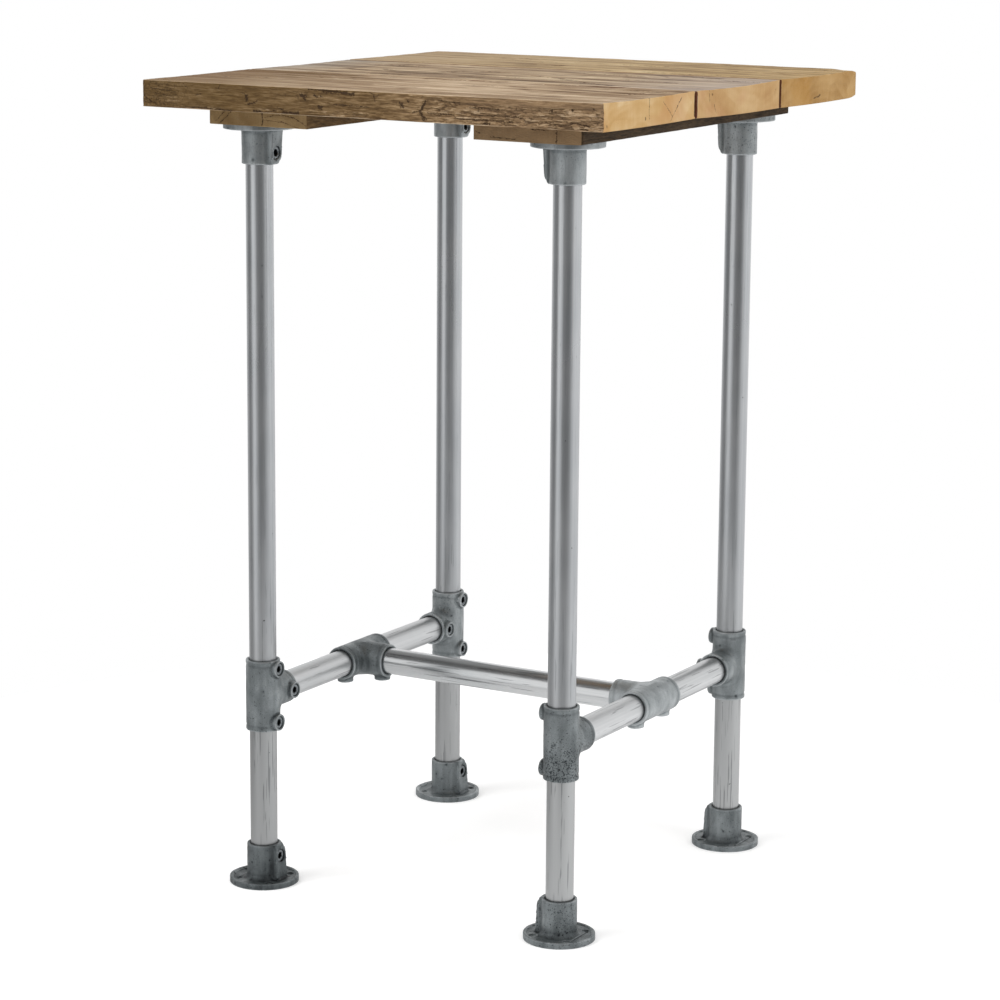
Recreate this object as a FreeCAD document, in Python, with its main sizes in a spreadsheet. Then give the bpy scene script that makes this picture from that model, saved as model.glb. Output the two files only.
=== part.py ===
# Poseur table: three reclaimed boards on a tube-and-clamp frame.
# Millimetres. X runs along the boards, Y from the front board to the rear one, Z up.
# The origin is on the floor, under the middle of the top.
# Front is -Y, left is -X.
import FreeCAD
import Part
import Sketcher
import os

doc = FreeCAD.newDocument("poseur_table")
Vector = FreeCAD.Vector

# Sizes that can be set by themselves, in millimetres.
given_sizes = [
    # the whole table
    ("overall_height", 1005, "floor to the top of the boards"),
    # boards
    ("board_long", 620, "length of each board"),
    ("board_wide", 224, "width of each board"),
    ("board_thick", 32, "thickness of each board"),
    ("board_gap", 1, "open joint between two boards"),
    ("board_arris", 1.5, "worn rounding of the board edges"),
    ("rear_corner", 10, "rounding of the rear board's two outer corners"),
    # battens under the boards
    ("batten_long", 541, "length of each batten, front to rear"),
    ("batten_wide", 139, "width of each batten"),
    ("batten_thick", 21, "thickness of each batten"),
    ("batten_set_back", 50, "front edge of the top to the batten's front end"),
    ("batten_inset_left", 61, "left edge of the top to the left batten's outer side"),
    ("batten_inset_right", 55, "right edge of the top to the right batten's outer side"),
    ("batten_arris", 0.8, "worn rounding of the batten edges"),
    ("clip_wide", 26, "clipped front corner of the right batten, along X"),
    ("clip_deep", 7, "clipped front corner of the right batten, along Y"),
    # frame layout
    ("leg_spread_long", 425, "between leg centres, along the boards"),
    ("leg_spread_deep", 445, "between leg centres, front to rear"),
    ("frame_shift_long", -7, "middle of the frame from the middle of the top, along X"),
    ("frame_shift_deep", -3.5, "middle of the frame from the middle of the top, along Y"),
    ("rail_height", 242.5, "floor to the middle of the rails"),
    # tube
    ("tube_outer", 33.7, "tube diameter"),
    ("tube_wall", 3.2, "tube wall"),
    ("tube_play", 0.3, "all round between a tube and its socket"),
    ("tube_end_play", 0.5, "between a tube's free end and what it faces"),
    ("branch_tube_gap", 1.15, "between a branch tube's end and the tube that it meets"),
    # three-socket tee
    ("tee_outer", 43, "diameter of the barrel and the branch"),
    ("tee_long", 90, "length of the barrel"),
    ("tee_reach", 46, "middle of the barrel to the mouth of the branch"),
    ("tee_web", 5, "stop between the barrel's two sockets"),
    ("tee_web_hole", 18, "diameter of the drain hole through the stop"),
    ("tee_branch_floor", 12, "middle of the barrel to the floor of the branch socket"),
    ("mouth_round", 1, "rounding of a socket's outer edge"),
    # screw bosses on the tees
    ("boss_round", 21, "diameter of a screw boss"),
    ("boss_face", 26, "middle of the socket to the face of the boss"),
    ("boss_edge", 0.5, "between a boss and the mouth of its socket"),
    ("boss_fillet", 1.4, "rounding of the boss's rim"),
    # round flange, at the foot and under the battens
    ("flange_outer", 87, "diameter of the plate"),
    ("flange_high", 50.5, "plate underside to the mouth of the socket"),
    ("flange_rim_high", 8, "height of the plate's raised rim"),
    ("flange_rim_wide", 3.5, "width of the plate's raised rim"),
    ("flange_floor_high", 6.4, "thickness of the plate inside its rim"),
    ("flange_rim_round", 1.2, "bevel of the rim"),
    ("flange_root", 3.5, "flare where the socket meets the plate"),
    ("flange_seat", 5, "underside of the plate to the ledge that the tube stands on"),
    ("flange_drain", 25, "diameter of the hole inside that ledge"),
    ("flange_recess_from", 26.5, "middle of the plate to the straight side of its sunk segment"),
    ("flange_recess_deep", 0.9, "depth of the sunk segment"),
    ("flange_screw_high", 36, "plate underside to the set screw"),
    ("flange_boss_wide", 22, "width of the flange's screw boss"),
    ("flange_boss_flare", 2.2, "how far the boss spreads towards the plate"),
    ("flange_boss_fillet", 3, "rounding of the boss's upright edges"),
    ("flange_hole_circle", 66, "circle of the four fixing holes"),
    ("flange_hole", 6, "diameter of a fixing hole"),
    ("flange_countersink", 10.5, "countersink diameter at the plate's face"),
    # set screws
    ("set_screw_outer", 15, "diameter of a set screw"),
    ("set_screw_play", 0.2, "all round between a set screw and its hole"),
    ("set_screw_sunk", 1, "face of the boss to the head of the screw"),
    ("set_screw_tip_gap", 0.2, "between the screw's point and the tube"),
    ("set_screw_bevel", 0.8, "bevel at both ends of the screw"),
    ("set_screw_hex", 8, "hexagon, across its flats"),
    ("set_screw_hex_deep", 4.5, "depth of the hexagon"),
    # wood screws
    ("wood_screw_outer", 4.5, "shank of a wood screw"),
    ("wood_screw_head", 9, "head diameter"),
    ("wood_screw_head_edge", 0.4, "straight edge of the head"),
    ("wood_screw_tip", 6, "length of the point"),
    ("wood_screw_play", 0.15, "all round between a screw and its hole"),
    ("wood_screw_end_room", 1, "hole beyond the screw's point"),
    ("slot_long", 4.8, "cross recess, length of each arm pair"),
    ("slot_wide", 1.1, "cross recess, width of an arm"),
    ("slot_deep", 1.6, "cross recess, depth"),
    ("batten_screw_long", 42, "screw through a batten into a board"),
    ("flange_screw_long", 42, "screw through a flange and a batten into a board"),
    ("batten_screw_spread", 100, "between the two screws of a row"),
    ("batten_screw_row_outer", 150, "middle of the top to the outer rows of screws"),
    ("batten_screw_row_inner", 80, "middle of the top to the inner rows of screws"),
    ("cut_overrun", 2, "how far a cutting shape runs past what it cuts"),
]

# Sizes that follow from the ones above.
derived_sizes = [
    ("top_deep", "3 * board_wide + 2 * board_gap", "front edge to rear edge of the top"),
    ("board_bottom", "overall_height - board_thick", "floor to the boards' underside"),
    ("batten_bottom", "board_bottom - batten_thick", "floor to the battens' underside"),
    ("board_pitch", "board_wide + board_gap", "from board to board"),
    ("batten_front", "-top_deep / 2 + batten_set_back", "front end of both battens"),
    ("batten_rear", "batten_front + batten_long", "rear end of both battens"),
    ("batten_left_outer", "-board_long / 2 + batten_inset_left", "left batten, outer side"),
    ("batten_left_inner", "batten_left_outer + batten_wide", "left batten, inner side"),
    ("batten_right_outer", "board_long / 2 - batten_inset_right", "right batten, outer side"),
    ("batten_right_inner", "batten_right_outer - batten_wide", "right batten, inner side"),
    ("batten_left_middle", "batten_left_outer + batten_wide / 2", "left batten, middle"),
    ("batten_right_middle", "batten_right_outer - batten_wide / 2", "right batten, middle"),
    ("leg_left", "frame_shift_long - leg_spread_long / 2", "X of the left legs"),
    ("leg_right", "frame_shift_long + leg_spread_long / 2", "X of the right legs"),
    ("leg_front", "frame_shift_deep - leg_spread_deep / 2", "Y of the front legs"),
    ("leg_rear", "frame_shift_deep + leg_spread_deep / 2", "Y of the rear legs"),
    ("tube_radius", "tube_outer / 2", "outer radius of the tube"),
    ("tube_bore", "tube_outer / 2 - tube_wall", "inner radius of the tube"),
    ("socket_radius", "tube_outer / 2 + tube_play", "radius of every socket"),
    ("socket_outer", "tee_outer / 2", "outer radius of every socket"),
    ("tee_half", "tee_long / 2", "middle of the barrel to its mouth"),
    ("boss_radius", "boss_round / 2", "radius of a screw boss"),
    ("boss_on_barrel", "tee_half - boss_radius - boss_edge", "middle of the tee to a barrel boss"),
    ("boss_on_branch", "tee_reach - boss_radius - boss_edge", "middle of the tee to its branch boss"),
    ("screw_hole_radius", "set_screw_outer / 2 + set_screw_play", "hole of a set screw"),
    ("hole_offset", "flange_hole_circle / 2 * sqrt(0.5)", "fixing hole from the plate's middle"),
    ("branch_start", "tube_radius + branch_tube_gap", "leg middle to a rail tube's end"),
    ("lower_leg_long", "rail_height - tee_web / 2 - tube_end_play - flange_seat", "lower leg tube"),
    ("upper_leg_from", "rail_height + tee_web / 2", "foot of the upper leg tube"),
    ("upper_leg_long", "batten_bottom - flange_seat - tube_end_play - upper_leg_from",
     "upper leg tube"),
    ("side_rail_long",
     "leg_spread_deep / 2 - branch_start - tee_web / 2 - tube_end_play", "each side rail tube"),
    ("cross_rail_long", "leg_spread_long - 2 * branch_start", "cross rail tube"),
    ("set_screw_from", "tube_radius + set_screw_tip_gap", "socket middle to the screw's point"),
    ("set_screw_to", "boss_face - set_screw_sunk", "socket middle to the screw's head"),
    ("set_screw_radius", "set_screw_outer / 2", "radius of a set screw"),
    ("wood_screw_radius", "wood_screw_outer / 2", "radius of a wood screw's shank"),
    ("wood_screw_head_radius", "wood_screw_head / 2", "radius of its head"),
    ("wood_screw_neck", "wood_screw_head_edge + wood_screw_head_radius - wood_screw_radius",
     "head face to the shank"),
    ("wood_hole_radius", "wood_screw_radius + wood_screw_play", "hole of a wood screw"),
    ("screw_column_left_outer", "batten_left_middle - batten_screw_spread / 2", "X of a row's screw"),
    ("screw_column_left_inner", "batten_left_middle + batten_screw_spread / 2", "X of a row's screw"),
    ("screw_column_right_inner", "batten_right_middle - batten_screw_spread / 2", "X of a row's screw"),
    ("screw_column_right_outer", "batten_right_middle + batten_screw_spread / 2", "X of a row's screw"),
    ("flange_screw_bottom", "batten_bottom - flange_floor_high", "head of a flange's wood screw"),
    ("batten_screw_hole_deep",
     "batten_screw_long - batten_thick + wood_screw_end_room", "hole in a board, batten screw"),
    ("flange_screw_hole_deep",
     "flange_screw_long - batten_thick - flange_floor_high + wood_screw_end_room",
     "hole in a board, flange screw"),
]

sheet = doc.addObject("Spreadsheet::Sheet", "sizes")
for row, (alias, value, note) in enumerate(given_sizes, start=1):
    sheet.set("A%d" % row, note)
    sheet.set("B%d" % row, str(value))
    sheet.setAlias("B%d" % row, alias)
for row, (alias, formula, note) in enumerate(derived_sizes, start=len(given_sizes) + 1):
    sheet.set("A%d" % row, note)
    sheet.set("B%d" % row, "=" + formula)
    sheet.setAlias("B%d" % row, alias)
doc.recompute()

sub_parts = []
solids_wanted = {}


def bind(target, place, expression):
    """Ties one property or constraint of an object to the sheet."""
    target.setExpression(place, expression)


def value_of(expression):
    """The number that an expression gives now."""
    return float(sheet.evalExpression(expression.replace("sizes.", "")))


def new_body(name):
    body = doc.addObject("PartDesign::Body", name)
    body.Label = name
    return body


def keep(part, solids=1):
    """Lists an object as a sub-part that is written out."""
    sub_parts.append(part)
    solids_wanted[part.Label] = solids


def plane(body, role):
    return [face for face in body.Origin.OriginFeatures if face.Role == role][0]


def new_sketch(body, role, name, offset=None):
    sketch = body.newObject("Sketcher::SketchObject", name)
    sketch.AttachmentSupport = [(plane(body, role), "")]
    sketch.MapMode = "FlatFace"
    if offset:
        bind(sketch, "AttachmentOffset.Base.z", offset)
    return sketch


def fix_distance(sketch, kind, element, corner, expression):
    """Holds a point at a distance from the sketch's origin, along one axis."""
    index = sketch.addConstraint(
        Sketcher.Constraint(kind, -1, 1, element, corner, value_of(expression)))
    bind(sketch, "Constraints[%d]" % index, expression)


def add_circle(sketch, radius, across="0", up="0"):
    """A circle whose radius and centre come from the sheet."""
    centre = Vector(value_of(across), value_of(up), 0)
    index = sketch.addGeometry(Part.Circle(centre, Vector(0, 0, 1), value_of(radius)), False)
    held = sketch.addConstraint(Sketcher.Constraint("Radius", index, value_of(radius)))
    bind(sketch, "Constraints[%d]" % held, radius)
    if across == "0" and up == "0":
        sketch.addConstraint(Sketcher.Constraint("Coincident", index, 3, -1, 1))
        return
    fix_distance(sketch, "DistanceX", index, 3, across)
    fix_distance(sketch, "DistanceY", index, 3, up)


def add_outline(sketch, corners):
    """A closed outline of straight sides through corners given as (across, up)."""
    points = [Vector(value_of(across), value_of(up), 0) for across, up in corners]
    first = sketch.GeometryCount
    for index, point in enumerate(points):
        after = points[(index + 1) % len(points)]
        sketch.addGeometry(Part.LineSegment(point, after), False)
    for index, (across, up) in enumerate(corners):
        before = first + (index - 1) % len(corners)
        sketch.addConstraint(Sketcher.Constraint("Coincident", before, 2, first + index, 1))
        fix_distance(sketch, "DistanceX", first + index, 1, across)
        fix_distance(sketch, "DistanceY", first + index, 1, up)


def pad(body, sketch, name, length, middle=False, backwards=False):
    feature = body.newObject("PartDesign::Pad", name)
    feature.Profile = sketch
    bind(feature, "Length", length)
    feature.Midplane = middle
    feature.Reversed = backwards
    sketch.Visibility = False
    return feature


def pocket(body, sketch, name, length=None, middle=False, backwards=False):
    """Cuts by a length, or through everything ahead of it."""
    feature = body.newObject("PartDesign::Pocket", name)
    feature.Profile = sketch
    if length:
        bind(feature, "Length", length)
    else:
        feature.Type = "ThroughAll"
    feature.Midplane = middle
    feature.Reversed = backwards
    sketch.Visibility = False
    return feature


def revolve(body, sketch, name, axis):
    feature = body.newObject("PartDesign::Revolution", name)
    feature.Profile = sketch
    feature.ReferenceAxis = (sketch, [axis])
    feature.Angle = 360
    sketch.Visibility = False
    return feature


def round_edges(body, feature, name, radius, wanted):
    """Rounds the edges of the last feature that the test picks out."""
    doc.recompute()
    edges = enumerate(feature.Shape.Edges, start=1)
    names = ["Edge%d" % number for number, edge in edges if wanted(edge)]
    fillet = body.newObject("PartDesign::Fillet", name)
    fillet.Base = (feature, names)
    bind(fillet, "Radius", radius)
    return fillet


def near(first, second):
    """Two lengths of the model agree."""
    return abs(first - second) < value_of("cut_overrun") / 1000


def is_ring(edge, radius):
    return isinstance(edge.Curve, Part.Circle) and near(edge.Curve.Radius, radius)


def place(target, x="0", y="0", z="0", rotation=None):
    """Moves an object to a place from the sheet, and turns it."""
    if rotation:
        target.Placement = FreeCAD.Placement(Vector(0, 0, 0), rotation)
    for axis, expression in (("x", x), ("y", y), ("z", z)):
        if expression != "0":
            bind(target, "Placement.Base." + axis, expression)


def turned(x_goes, y_goes, z_goes):
    """A rotation, given where the three axes end up."""
    return FreeCAD.Rotation(Vector(*x_goes), Vector(*y_goes), Vector(*z_goes), "XYZ")


leg_places = {
    "front_left": ("sizes.leg_left", "sizes.leg_front"),
    "front_right": ("sizes.leg_right", "sizes.leg_front"),
    "rear_right": ("sizes.leg_right", "sizes.leg_rear"),
    "rear_left": ("sizes.leg_left", "sizes.leg_rear"),
}
right, left = (1, 0, 0), (-1, 0, 0)
back, front = (0, 1, 0), (0, -1, 0)
up, down = (0, 0, 1), (0, 0, -1)

# Boards and battens


def flange_screw_places(corner):
    """The four fixing screws of the flange at one leg."""
    x, y = leg_places[corner]
    return [("%s %s sizes.hole_offset" % (x, side), "%s %s sizes.hole_offset" % (y, end))
            for side in "+-" for end in "+-"]


columns = {
    "left": ("sizes.screw_column_left_outer", "sizes.screw_column_left_inner"),
    "right": ("sizes.screw_column_right_inner", "sizes.screw_column_right_outer"),
}
rows = {
    "front": ("-sizes.batten_screw_row_outer",),
    "middle": ("-sizes.batten_screw_row_inner", "sizes.batten_screw_row_inner"),
    "rear": ("sizes.batten_screw_row_outer",),
}


def make_board(which, steps):
    """One board, with the blind holes of the screws that come up into it."""
    body = new_body("top_board_" + which)
    middle = "%d * sizes.board_pitch" % steps
    near_side = middle + " - sizes.board_wide / 2"
    far_side = middle + " + sizes.board_wide / 2"
    end = "sizes.board_long / 2"
    outline = new_sketch(body, "XY_Plane", which + "_outline")
    add_outline(outline, [("-" + end, near_side), (end, near_side),
                          (end, far_side), ("-" + end, far_side)])
    last = pad(body, outline, which + "_plank", "sizes.board_thick")
    if which == "rear":
        far = value_of(far_side)
        last = round_edges(body, last, which + "_corners", "sizes.rear_corner",
                           lambda edge: near(edge.BoundBox.YMin, far) and near(edge.BoundBox.YMax, far)
                           and near(edge.BoundBox.XLength, 0))
    round_edges(body, last, which + "_arrises", "sizes.board_arris",
                lambda edge: near(edge.BoundBox.ZLength, 0))
    holes = new_sketch(body, "XY_Plane", which + "_screw_holes")
    for row_place in rows[which]:
        for side in columns.values():
            for column in side:
                add_circle(holes, "sizes.wood_hole_radius", column, row_place)
    pocket(body, holes, which + "_screw_bores", "sizes.batten_screw_hole_deep", backwards=True)
    if which != "middle":
        flange_holes = new_sketch(body, "XY_Plane", which + "_flange_screw_holes")
        for corner in leg_places:
            if corner.startswith(which):
                for x, y in flange_screw_places(corner):
                    add_circle(flange_holes, "sizes.wood_hole_radius", x, y)
        pocket(body, flange_holes, which + "_flange_screw_bores", "sizes.flange_screw_hole_deep",
               backwards=True)
    place(body, z="sizes.board_bottom")
    keep(body)


for board, board_steps in (("front", -1), ("middle", 0), ("rear", 1)):
    make_board(board, board_steps)


def add_countersink(body, name, x, y, radius, depth):
    """A cone that takes a screw's head, open at the plane z = 0."""
    cone = body.newObject("PartDesign::SubtractiveCone", name)
    cone.AttachmentSupport = [(plane(body, "XY_Plane"), "")]
    cone.MapMode = "FlatFace"
    bind(cone, "Radius1", radius)
    bind(cone, "Radius2", "sizes.wood_hole_radius")
    bind(cone, "Height", depth)
    bind(cone, "AttachmentOffset.Base.x", x)
    bind(cone, "AttachmentOffset.Base.y", y)
    return cone


def make_batten(side):
    """One batten under the boards, drilled for its own screws and the flanges' screws."""
    body = new_body("batten_" + side)
    outer = "sizes.batten_%s_outer" % side
    inner = "sizes.batten_%s_inner" % side
    corners = [(inner, "sizes.batten_front"), (outer, "sizes.batten_front"),
               (outer, "sizes.batten_rear"), (inner, "sizes.batten_rear")]
    if side == "right":
        corners[1:2] = [(outer + " - sizes.clip_wide", "sizes.batten_front"),
                        (outer, "sizes.batten_front + sizes.clip_deep")]
    outline = new_sketch(body, "XY_Plane", side + "_batten_outline")
    add_outline(outline, corners)
    last = pad(body, outline, side + "_batten_plank", "sizes.batten_thick")
    round_edges(body, last, side + "_batten_arrises", "sizes.batten_arris",
                lambda edge: near(edge.BoundBox.ZMax, 0))
    holes = new_sketch(body, "XY_Plane", side + "_batten_holes")
    for column in columns[side]:
        for row_places in rows.values():
            for row_place in row_places:
                add_circle(holes, "sizes.wood_hole_radius", column, row_place)
    for corner in leg_places:
        if corner.endswith(side):
            for x, y in flange_screw_places(corner):
                add_circle(holes, "sizes.wood_hole_radius", x, y)
    pocket(body, holes, side + "_batten_bores", backwards=True)
    doc.recompute()
    for column_number, column in enumerate(columns[side]):
        for row_name, row_places in rows.items():
            for number, row_place in enumerate(row_places):
                name = "%s_%s_%d_%d_countersink" % (side, row_name, column_number, number)
                cone = add_countersink(body, name, column, row_place,
                                       "sizes.wood_screw_head_radius + sizes.wood_screw_play * 2",
                                       "sizes.wood_screw_neck + sizes.wood_screw_play")
                body.Tip = cone
    place(body, z="sizes.batten_bottom")
    keep(body)


make_batten("left")
make_batten("right")

# Tubes


def make_tube(name, length, x, y, z, rotation=None):
    """A length of tube that runs along its own Z axis."""
    body = new_body(name)
    ring = new_sketch(body, "XY_Plane", name + "_section")
    add_circle(ring, "sizes.tube_radius")
    add_circle(ring, "sizes.tube_bore")
    pad(body, ring, name + "_wall", length)
    place(body, x, y, z, rotation)
    keep(body)


along_deep = turned(right, down, back)
along_boards = turned(down, back, right)

for corner, (leg_x, leg_y) in leg_places.items():
    make_tube("lower_leg_" + corner, "sizes.lower_leg_long", leg_x, leg_y, "sizes.flange_seat")
    make_tube("upper_leg_" + corner, "sizes.upper_leg_long", leg_x, leg_y, "sizes.upper_leg_from")
for side in ("left", "right"):
    make_tube("side_rail_%s_front" % side, "sizes.side_rail_long", "sizes.leg_" + side,
              "sizes.leg_front + sizes.branch_start", "sizes.rail_height", along_deep)
    make_tube("side_rail_%s_rear" % side, "sizes.side_rail_long", "sizes.leg_" + side,
              "sizes.leg_rear - sizes.branch_start - sizes.side_rail_long", "sizes.rail_height",
              along_deep)
make_tube("cross_rail", "sizes.cross_rail_long", "sizes.leg_left + sizes.branch_start",
          "sizes.frame_shift_deep", "sizes.rail_height", along_boards)

# Three-socket tees. Barrel along Z, branch along +Y, screw bosses facing +X.


def boss_centres():
    """Middles of a tee's three screw bosses, as (along the branch, along the barrel)."""
    return [("0", "sizes.boss_on_barrel"), ("0", "-sizes.boss_on_barrel"), ("sizes.boss_on_branch", "0")]


def make_tee(name, x, y, rotation):
    body = new_body(name)
    barrel = new_sketch(body, "XY_Plane", name + "_barrel_section")
    add_circle(barrel, "sizes.socket_outer")
    pad(body, barrel, name + "_barrel", "sizes.tee_long", middle=True)
    branch = new_sketch(body, "XZ_Plane", name + "_branch_section")
    add_circle(branch, "sizes.socket_outer")
    last = pad(body, branch, name + "_branch", "sizes.tee_reach", backwards=True)
    half, reach, outer = value_of("tee_half"), value_of("tee_reach"), value_of("socket_outer")
    round_edges(body, last, name + "_mouth_rims", "sizes.mouth_round",
                lambda edge: is_ring(edge, outer)
                and (near(abs(edge.BoundBox.ZMin), half) and near(edge.BoundBox.ZLength, 0)
                     or near(edge.BoundBox.YMin, reach)))
    bosses = new_sketch(body, "YZ_Plane", name + "_boss_sections")
    for along_branch, along_barrel in boss_centres():
        add_circle(bosses, "sizes.boss_radius", along_branch, along_barrel)
    last = pad(body, bosses, name + "_bosses", "sizes.boss_face")
    face, boss = value_of("boss_face"), value_of("boss_radius")
    round_edges(body, last, name + "_boss_rims", "sizes.boss_fillet",
                lambda edge: is_ring(edge, boss) and near(edge.BoundBox.XMin, face))
    upper = new_sketch(body, "XY_Plane", name + "_upper_socket", "sizes.tee_web / 2")
    add_circle(upper, "sizes.socket_radius")
    pocket(body, upper, name + "_upper_bore", backwards=True)
    lower = new_sketch(body, "XY_Plane", name + "_lower_socket", "-sizes.tee_web / 2")
    add_circle(lower, "sizes.socket_radius")
    pocket(body, lower, name + "_lower_bore")
    drain = new_sketch(body, "XY_Plane", name + "_web_hole")
    add_circle(drain, "sizes.tee_web_hole / 2")
    pocket(body, drain, name + "_web_drain", "sizes.tee_web + sizes.cut_overrun", middle=True)
    side = new_sketch(body, "XZ_Plane", name + "_branch_socket", "-sizes.tee_branch_floor")
    add_circle(side, "sizes.socket_radius")
    pocket(body, side, name + "_branch_bore")
    screws = new_sketch(body, "YZ_Plane", name + "_screw_sections")
    for along_branch, along_barrel in boss_centres():
        add_circle(screws, "sizes.screw_hole_radius", along_branch, along_barrel)
    pocket(body, screws, name + "_screw_bores", backwards=True)
    place(body, x, y, "sizes.rail_height", rotation)
    keep(body)


tee_turns = {
    "front_left": turned(right, back, up),
    "front_right": turned(left, back, down),
    "rear_right": turned(left, front, up),
    "rear_left": turned(right, front, down),
}
rail_tee_turns = {
    "left": turned(down, right, front),
    "right": turned(down, left, back),
}
for corner, (leg_x, leg_y) in leg_places.items():
    make_tee("leg_tee_" + corner, leg_x, leg_y, tee_turns[corner])
for side, turn in rail_tee_turns.items():
    make_tee("rail_tee_" + side, "sizes.leg_" + side, "sizes.frame_shift_deep", turn)

# Round flanges. Plate on z = 0, socket upwards, screw boss facing +X.


def make_flange(name, x, y, z, rotation):
    body = new_body(name)
    profile = new_sketch(body, "XZ_Plane", name + "_profile")
    rim_inner = "sizes.flange_outer / 2 - sizes.flange_rim_wide"
    add_outline(profile, [
        ("0", "0"),
        ("sizes.flange_outer / 2", "0"),
        ("sizes.flange_outer / 2", "sizes.flange_rim_high - sizes.flange_rim_round"),
        ("sizes.flange_outer / 2 - sizes.flange_rim_round", "sizes.flange_rim_high"),
        (rim_inner, "sizes.flange_rim_high"),
        (rim_inner + " - sizes.flange_rim_high + sizes.flange_floor_high", "sizes.flange_floor_high"),
        ("sizes.socket_outer + sizes.flange_root", "sizes.flange_floor_high"),
        ("sizes.socket_outer", "sizes.flange_floor_high + sizes.flange_root"),
        ("sizes.socket_outer", "sizes.flange_high - sizes.mouth_round"),
        ("sizes.socket_outer - sizes.mouth_round", "sizes.flange_high"),
        ("0", "sizes.flange_high"),
    ])
    revolve(body, profile, name + "_turned", "V_Axis")
    shape = new_sketch(body, "XZ_Plane", name + "_boss_profile")
    add_outline(shape, [
        ("0", "0"),
        ("sizes.boss_face + sizes.flange_boss_flare", "0"),
        ("sizes.boss_face", "sizes.flange_screw_high"),
        ("sizes.boss_face - sizes.flange_boss_flare / 2", "sizes.flange_screw_high + sizes.boss_radius / 2"),
        ("sizes.socket_outer - sizes.mouth_round", "sizes.flange_high - sizes.mouth_round"),
        ("0", "sizes.flange_high - sizes.mouth_round"),
    ])
    last = pad(body, shape, name + "_boss", "sizes.flange_boss_wide", middle=True)
    half_wide, hub = value_of("flange_boss_wide / 2"), value_of("socket_outer")
    floor, screw = value_of("flange_floor_high"), value_of("flange_screw_high")
    round_edges(body, last, name + "_boss_sides", "sizes.flange_boss_fillet",
                lambda edge: isinstance(edge.Curve, Part.Line)
                and near(abs(edge.CenterOfMass.y), half_wide) and edge.BoundBox.XMin > hub
                and edge.BoundBox.ZMin > floor / 2 and near(edge.BoundBox.ZMax, screw))
    seat = new_sketch(body, "XY_Plane", name + "_socket", "sizes.flange_seat")
    add_circle(seat, "sizes.socket_radius")
    pocket(body, seat, name + "_bore", backwards=True)
    drain = new_sketch(body, "XY_Plane", name + "_drain_section")
    add_circle(drain, "sizes.flange_drain / 2")
    pocket(body, drain, name + "_drain", backwards=True)
    screw_hole = new_sketch(body, "YZ_Plane", name + "_screw_section")
    add_circle(screw_hole, "sizes.screw_hole_radius", "0", "sizes.flange_screw_high")
    pocket(body, screw_hole, name + "_screw_bore", backwards=True)
    recess = new_sketch(body, "XY_Plane", name + "_recess_outline",
                        "sizes.flange_floor_high - sizes.flange_recess_deep")
    chord_segment(recess)
    pocket(body, recess, name + "_recess", "sizes.flange_recess_deep + sizes.cut_overrun", backwards=True)
    holes = new_sketch(body, "XY_Plane", name + "_fixing_holes")
    for side in "+-":
        for end in "+-":
            add_circle(holes, "sizes.flange_hole / 2", side + "sizes.hole_offset", end + "sizes.hole_offset")
    pocket(body, holes, name + "_fixing_bores", backwards=True)
    doc.recompute()
    for number, (side, end) in enumerate((a, b) for a in "+-" for b in "+-"):
        cone = body.newObject("PartDesign::SubtractiveCone", "%s_countersink_%d" % (name, number))
        cone.AttachmentSupport = [(plane(body, "XY_Plane"), "")]
        cone.MapMode = "FlatFace"
        bind(cone, "Radius1", "sizes.flange_hole / 2")
        bind(cone, "Radius2", "sizes.flange_countersink / 2")
        bind(cone, "Height", "(sizes.flange_countersink - sizes.flange_hole) / 2")
        bind(cone, "AttachmentOffset.Base.x", side + "sizes.hole_offset")
        bind(cone, "AttachmentOffset.Base.y", end + "sizes.hole_offset")
        bind(cone, "AttachmentOffset.Base.z",
             "sizes.flange_floor_high - (sizes.flange_countersink - sizes.flange_hole) / 2")
        body.Tip = cone
    place(body, x, y, z, rotation)
    keep(body)


def chord_segment(sketch):
    """The sunk segment: a straight side, closed by an arc inside the plate's rim."""
    chord = "sizes.flange_recess_from"
    rim_inner = "sizes.flange_outer / 2 - sizes.flange_rim_wide"
    radius = rim_inner + " - sizes.flange_rim_high + sizes.flange_floor_high"
    across, reach = value_of(chord), value_of(radius)
    half = (reach ** 2 - across ** 2) ** 0.5
    start, end = Vector(-across, half, 0), Vector(-across, -half, 0)
    arc = sketch.addGeometry(Part.Arc(start, Vector(-reach, 0, 0), end), False)
    line = sketch.addGeometry(Part.LineSegment(end, start), False)
    sketch.addConstraint(Sketcher.Constraint("Coincident", arc, 3, -1, 1))
    held = sketch.addConstraint(Sketcher.Constraint("Radius", arc, reach))
    bind(sketch, "Constraints[%d]" % held, radius)
    arc_start, arc_end = (1, 2) if sketch.getPoint(arc, 1).y > 0 else (2, 1)
    sketch.addConstraint(Sketcher.Constraint("Coincident", line, 1, arc, arc_end))
    sketch.addConstraint(Sketcher.Constraint("Coincident", line, 2, arc, arc_start))
    sketch.addConstraint(Sketcher.Constraint("Vertical", line))
    fix_distance(sketch, "DistanceX", line, 1, "-" + chord)


foot_turns = {"left": turned(right, back, up), "right": turned(left, front, up)}
head_turns = {"left": turned(right, front, down), "right": turned(left, back, down)}
for corner, (leg_x, leg_y) in leg_places.items():
    side = corner.split("_")[1]
    make_flange("foot_flange_" + corner, leg_x, leg_y, "0", foot_turns[side])
    make_flange("top_flange_" + corner, leg_x, leg_y, "sizes.batten_bottom", head_turns[side])

# Set screws. One pattern screw along +X, and a copy in every boss.


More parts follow.
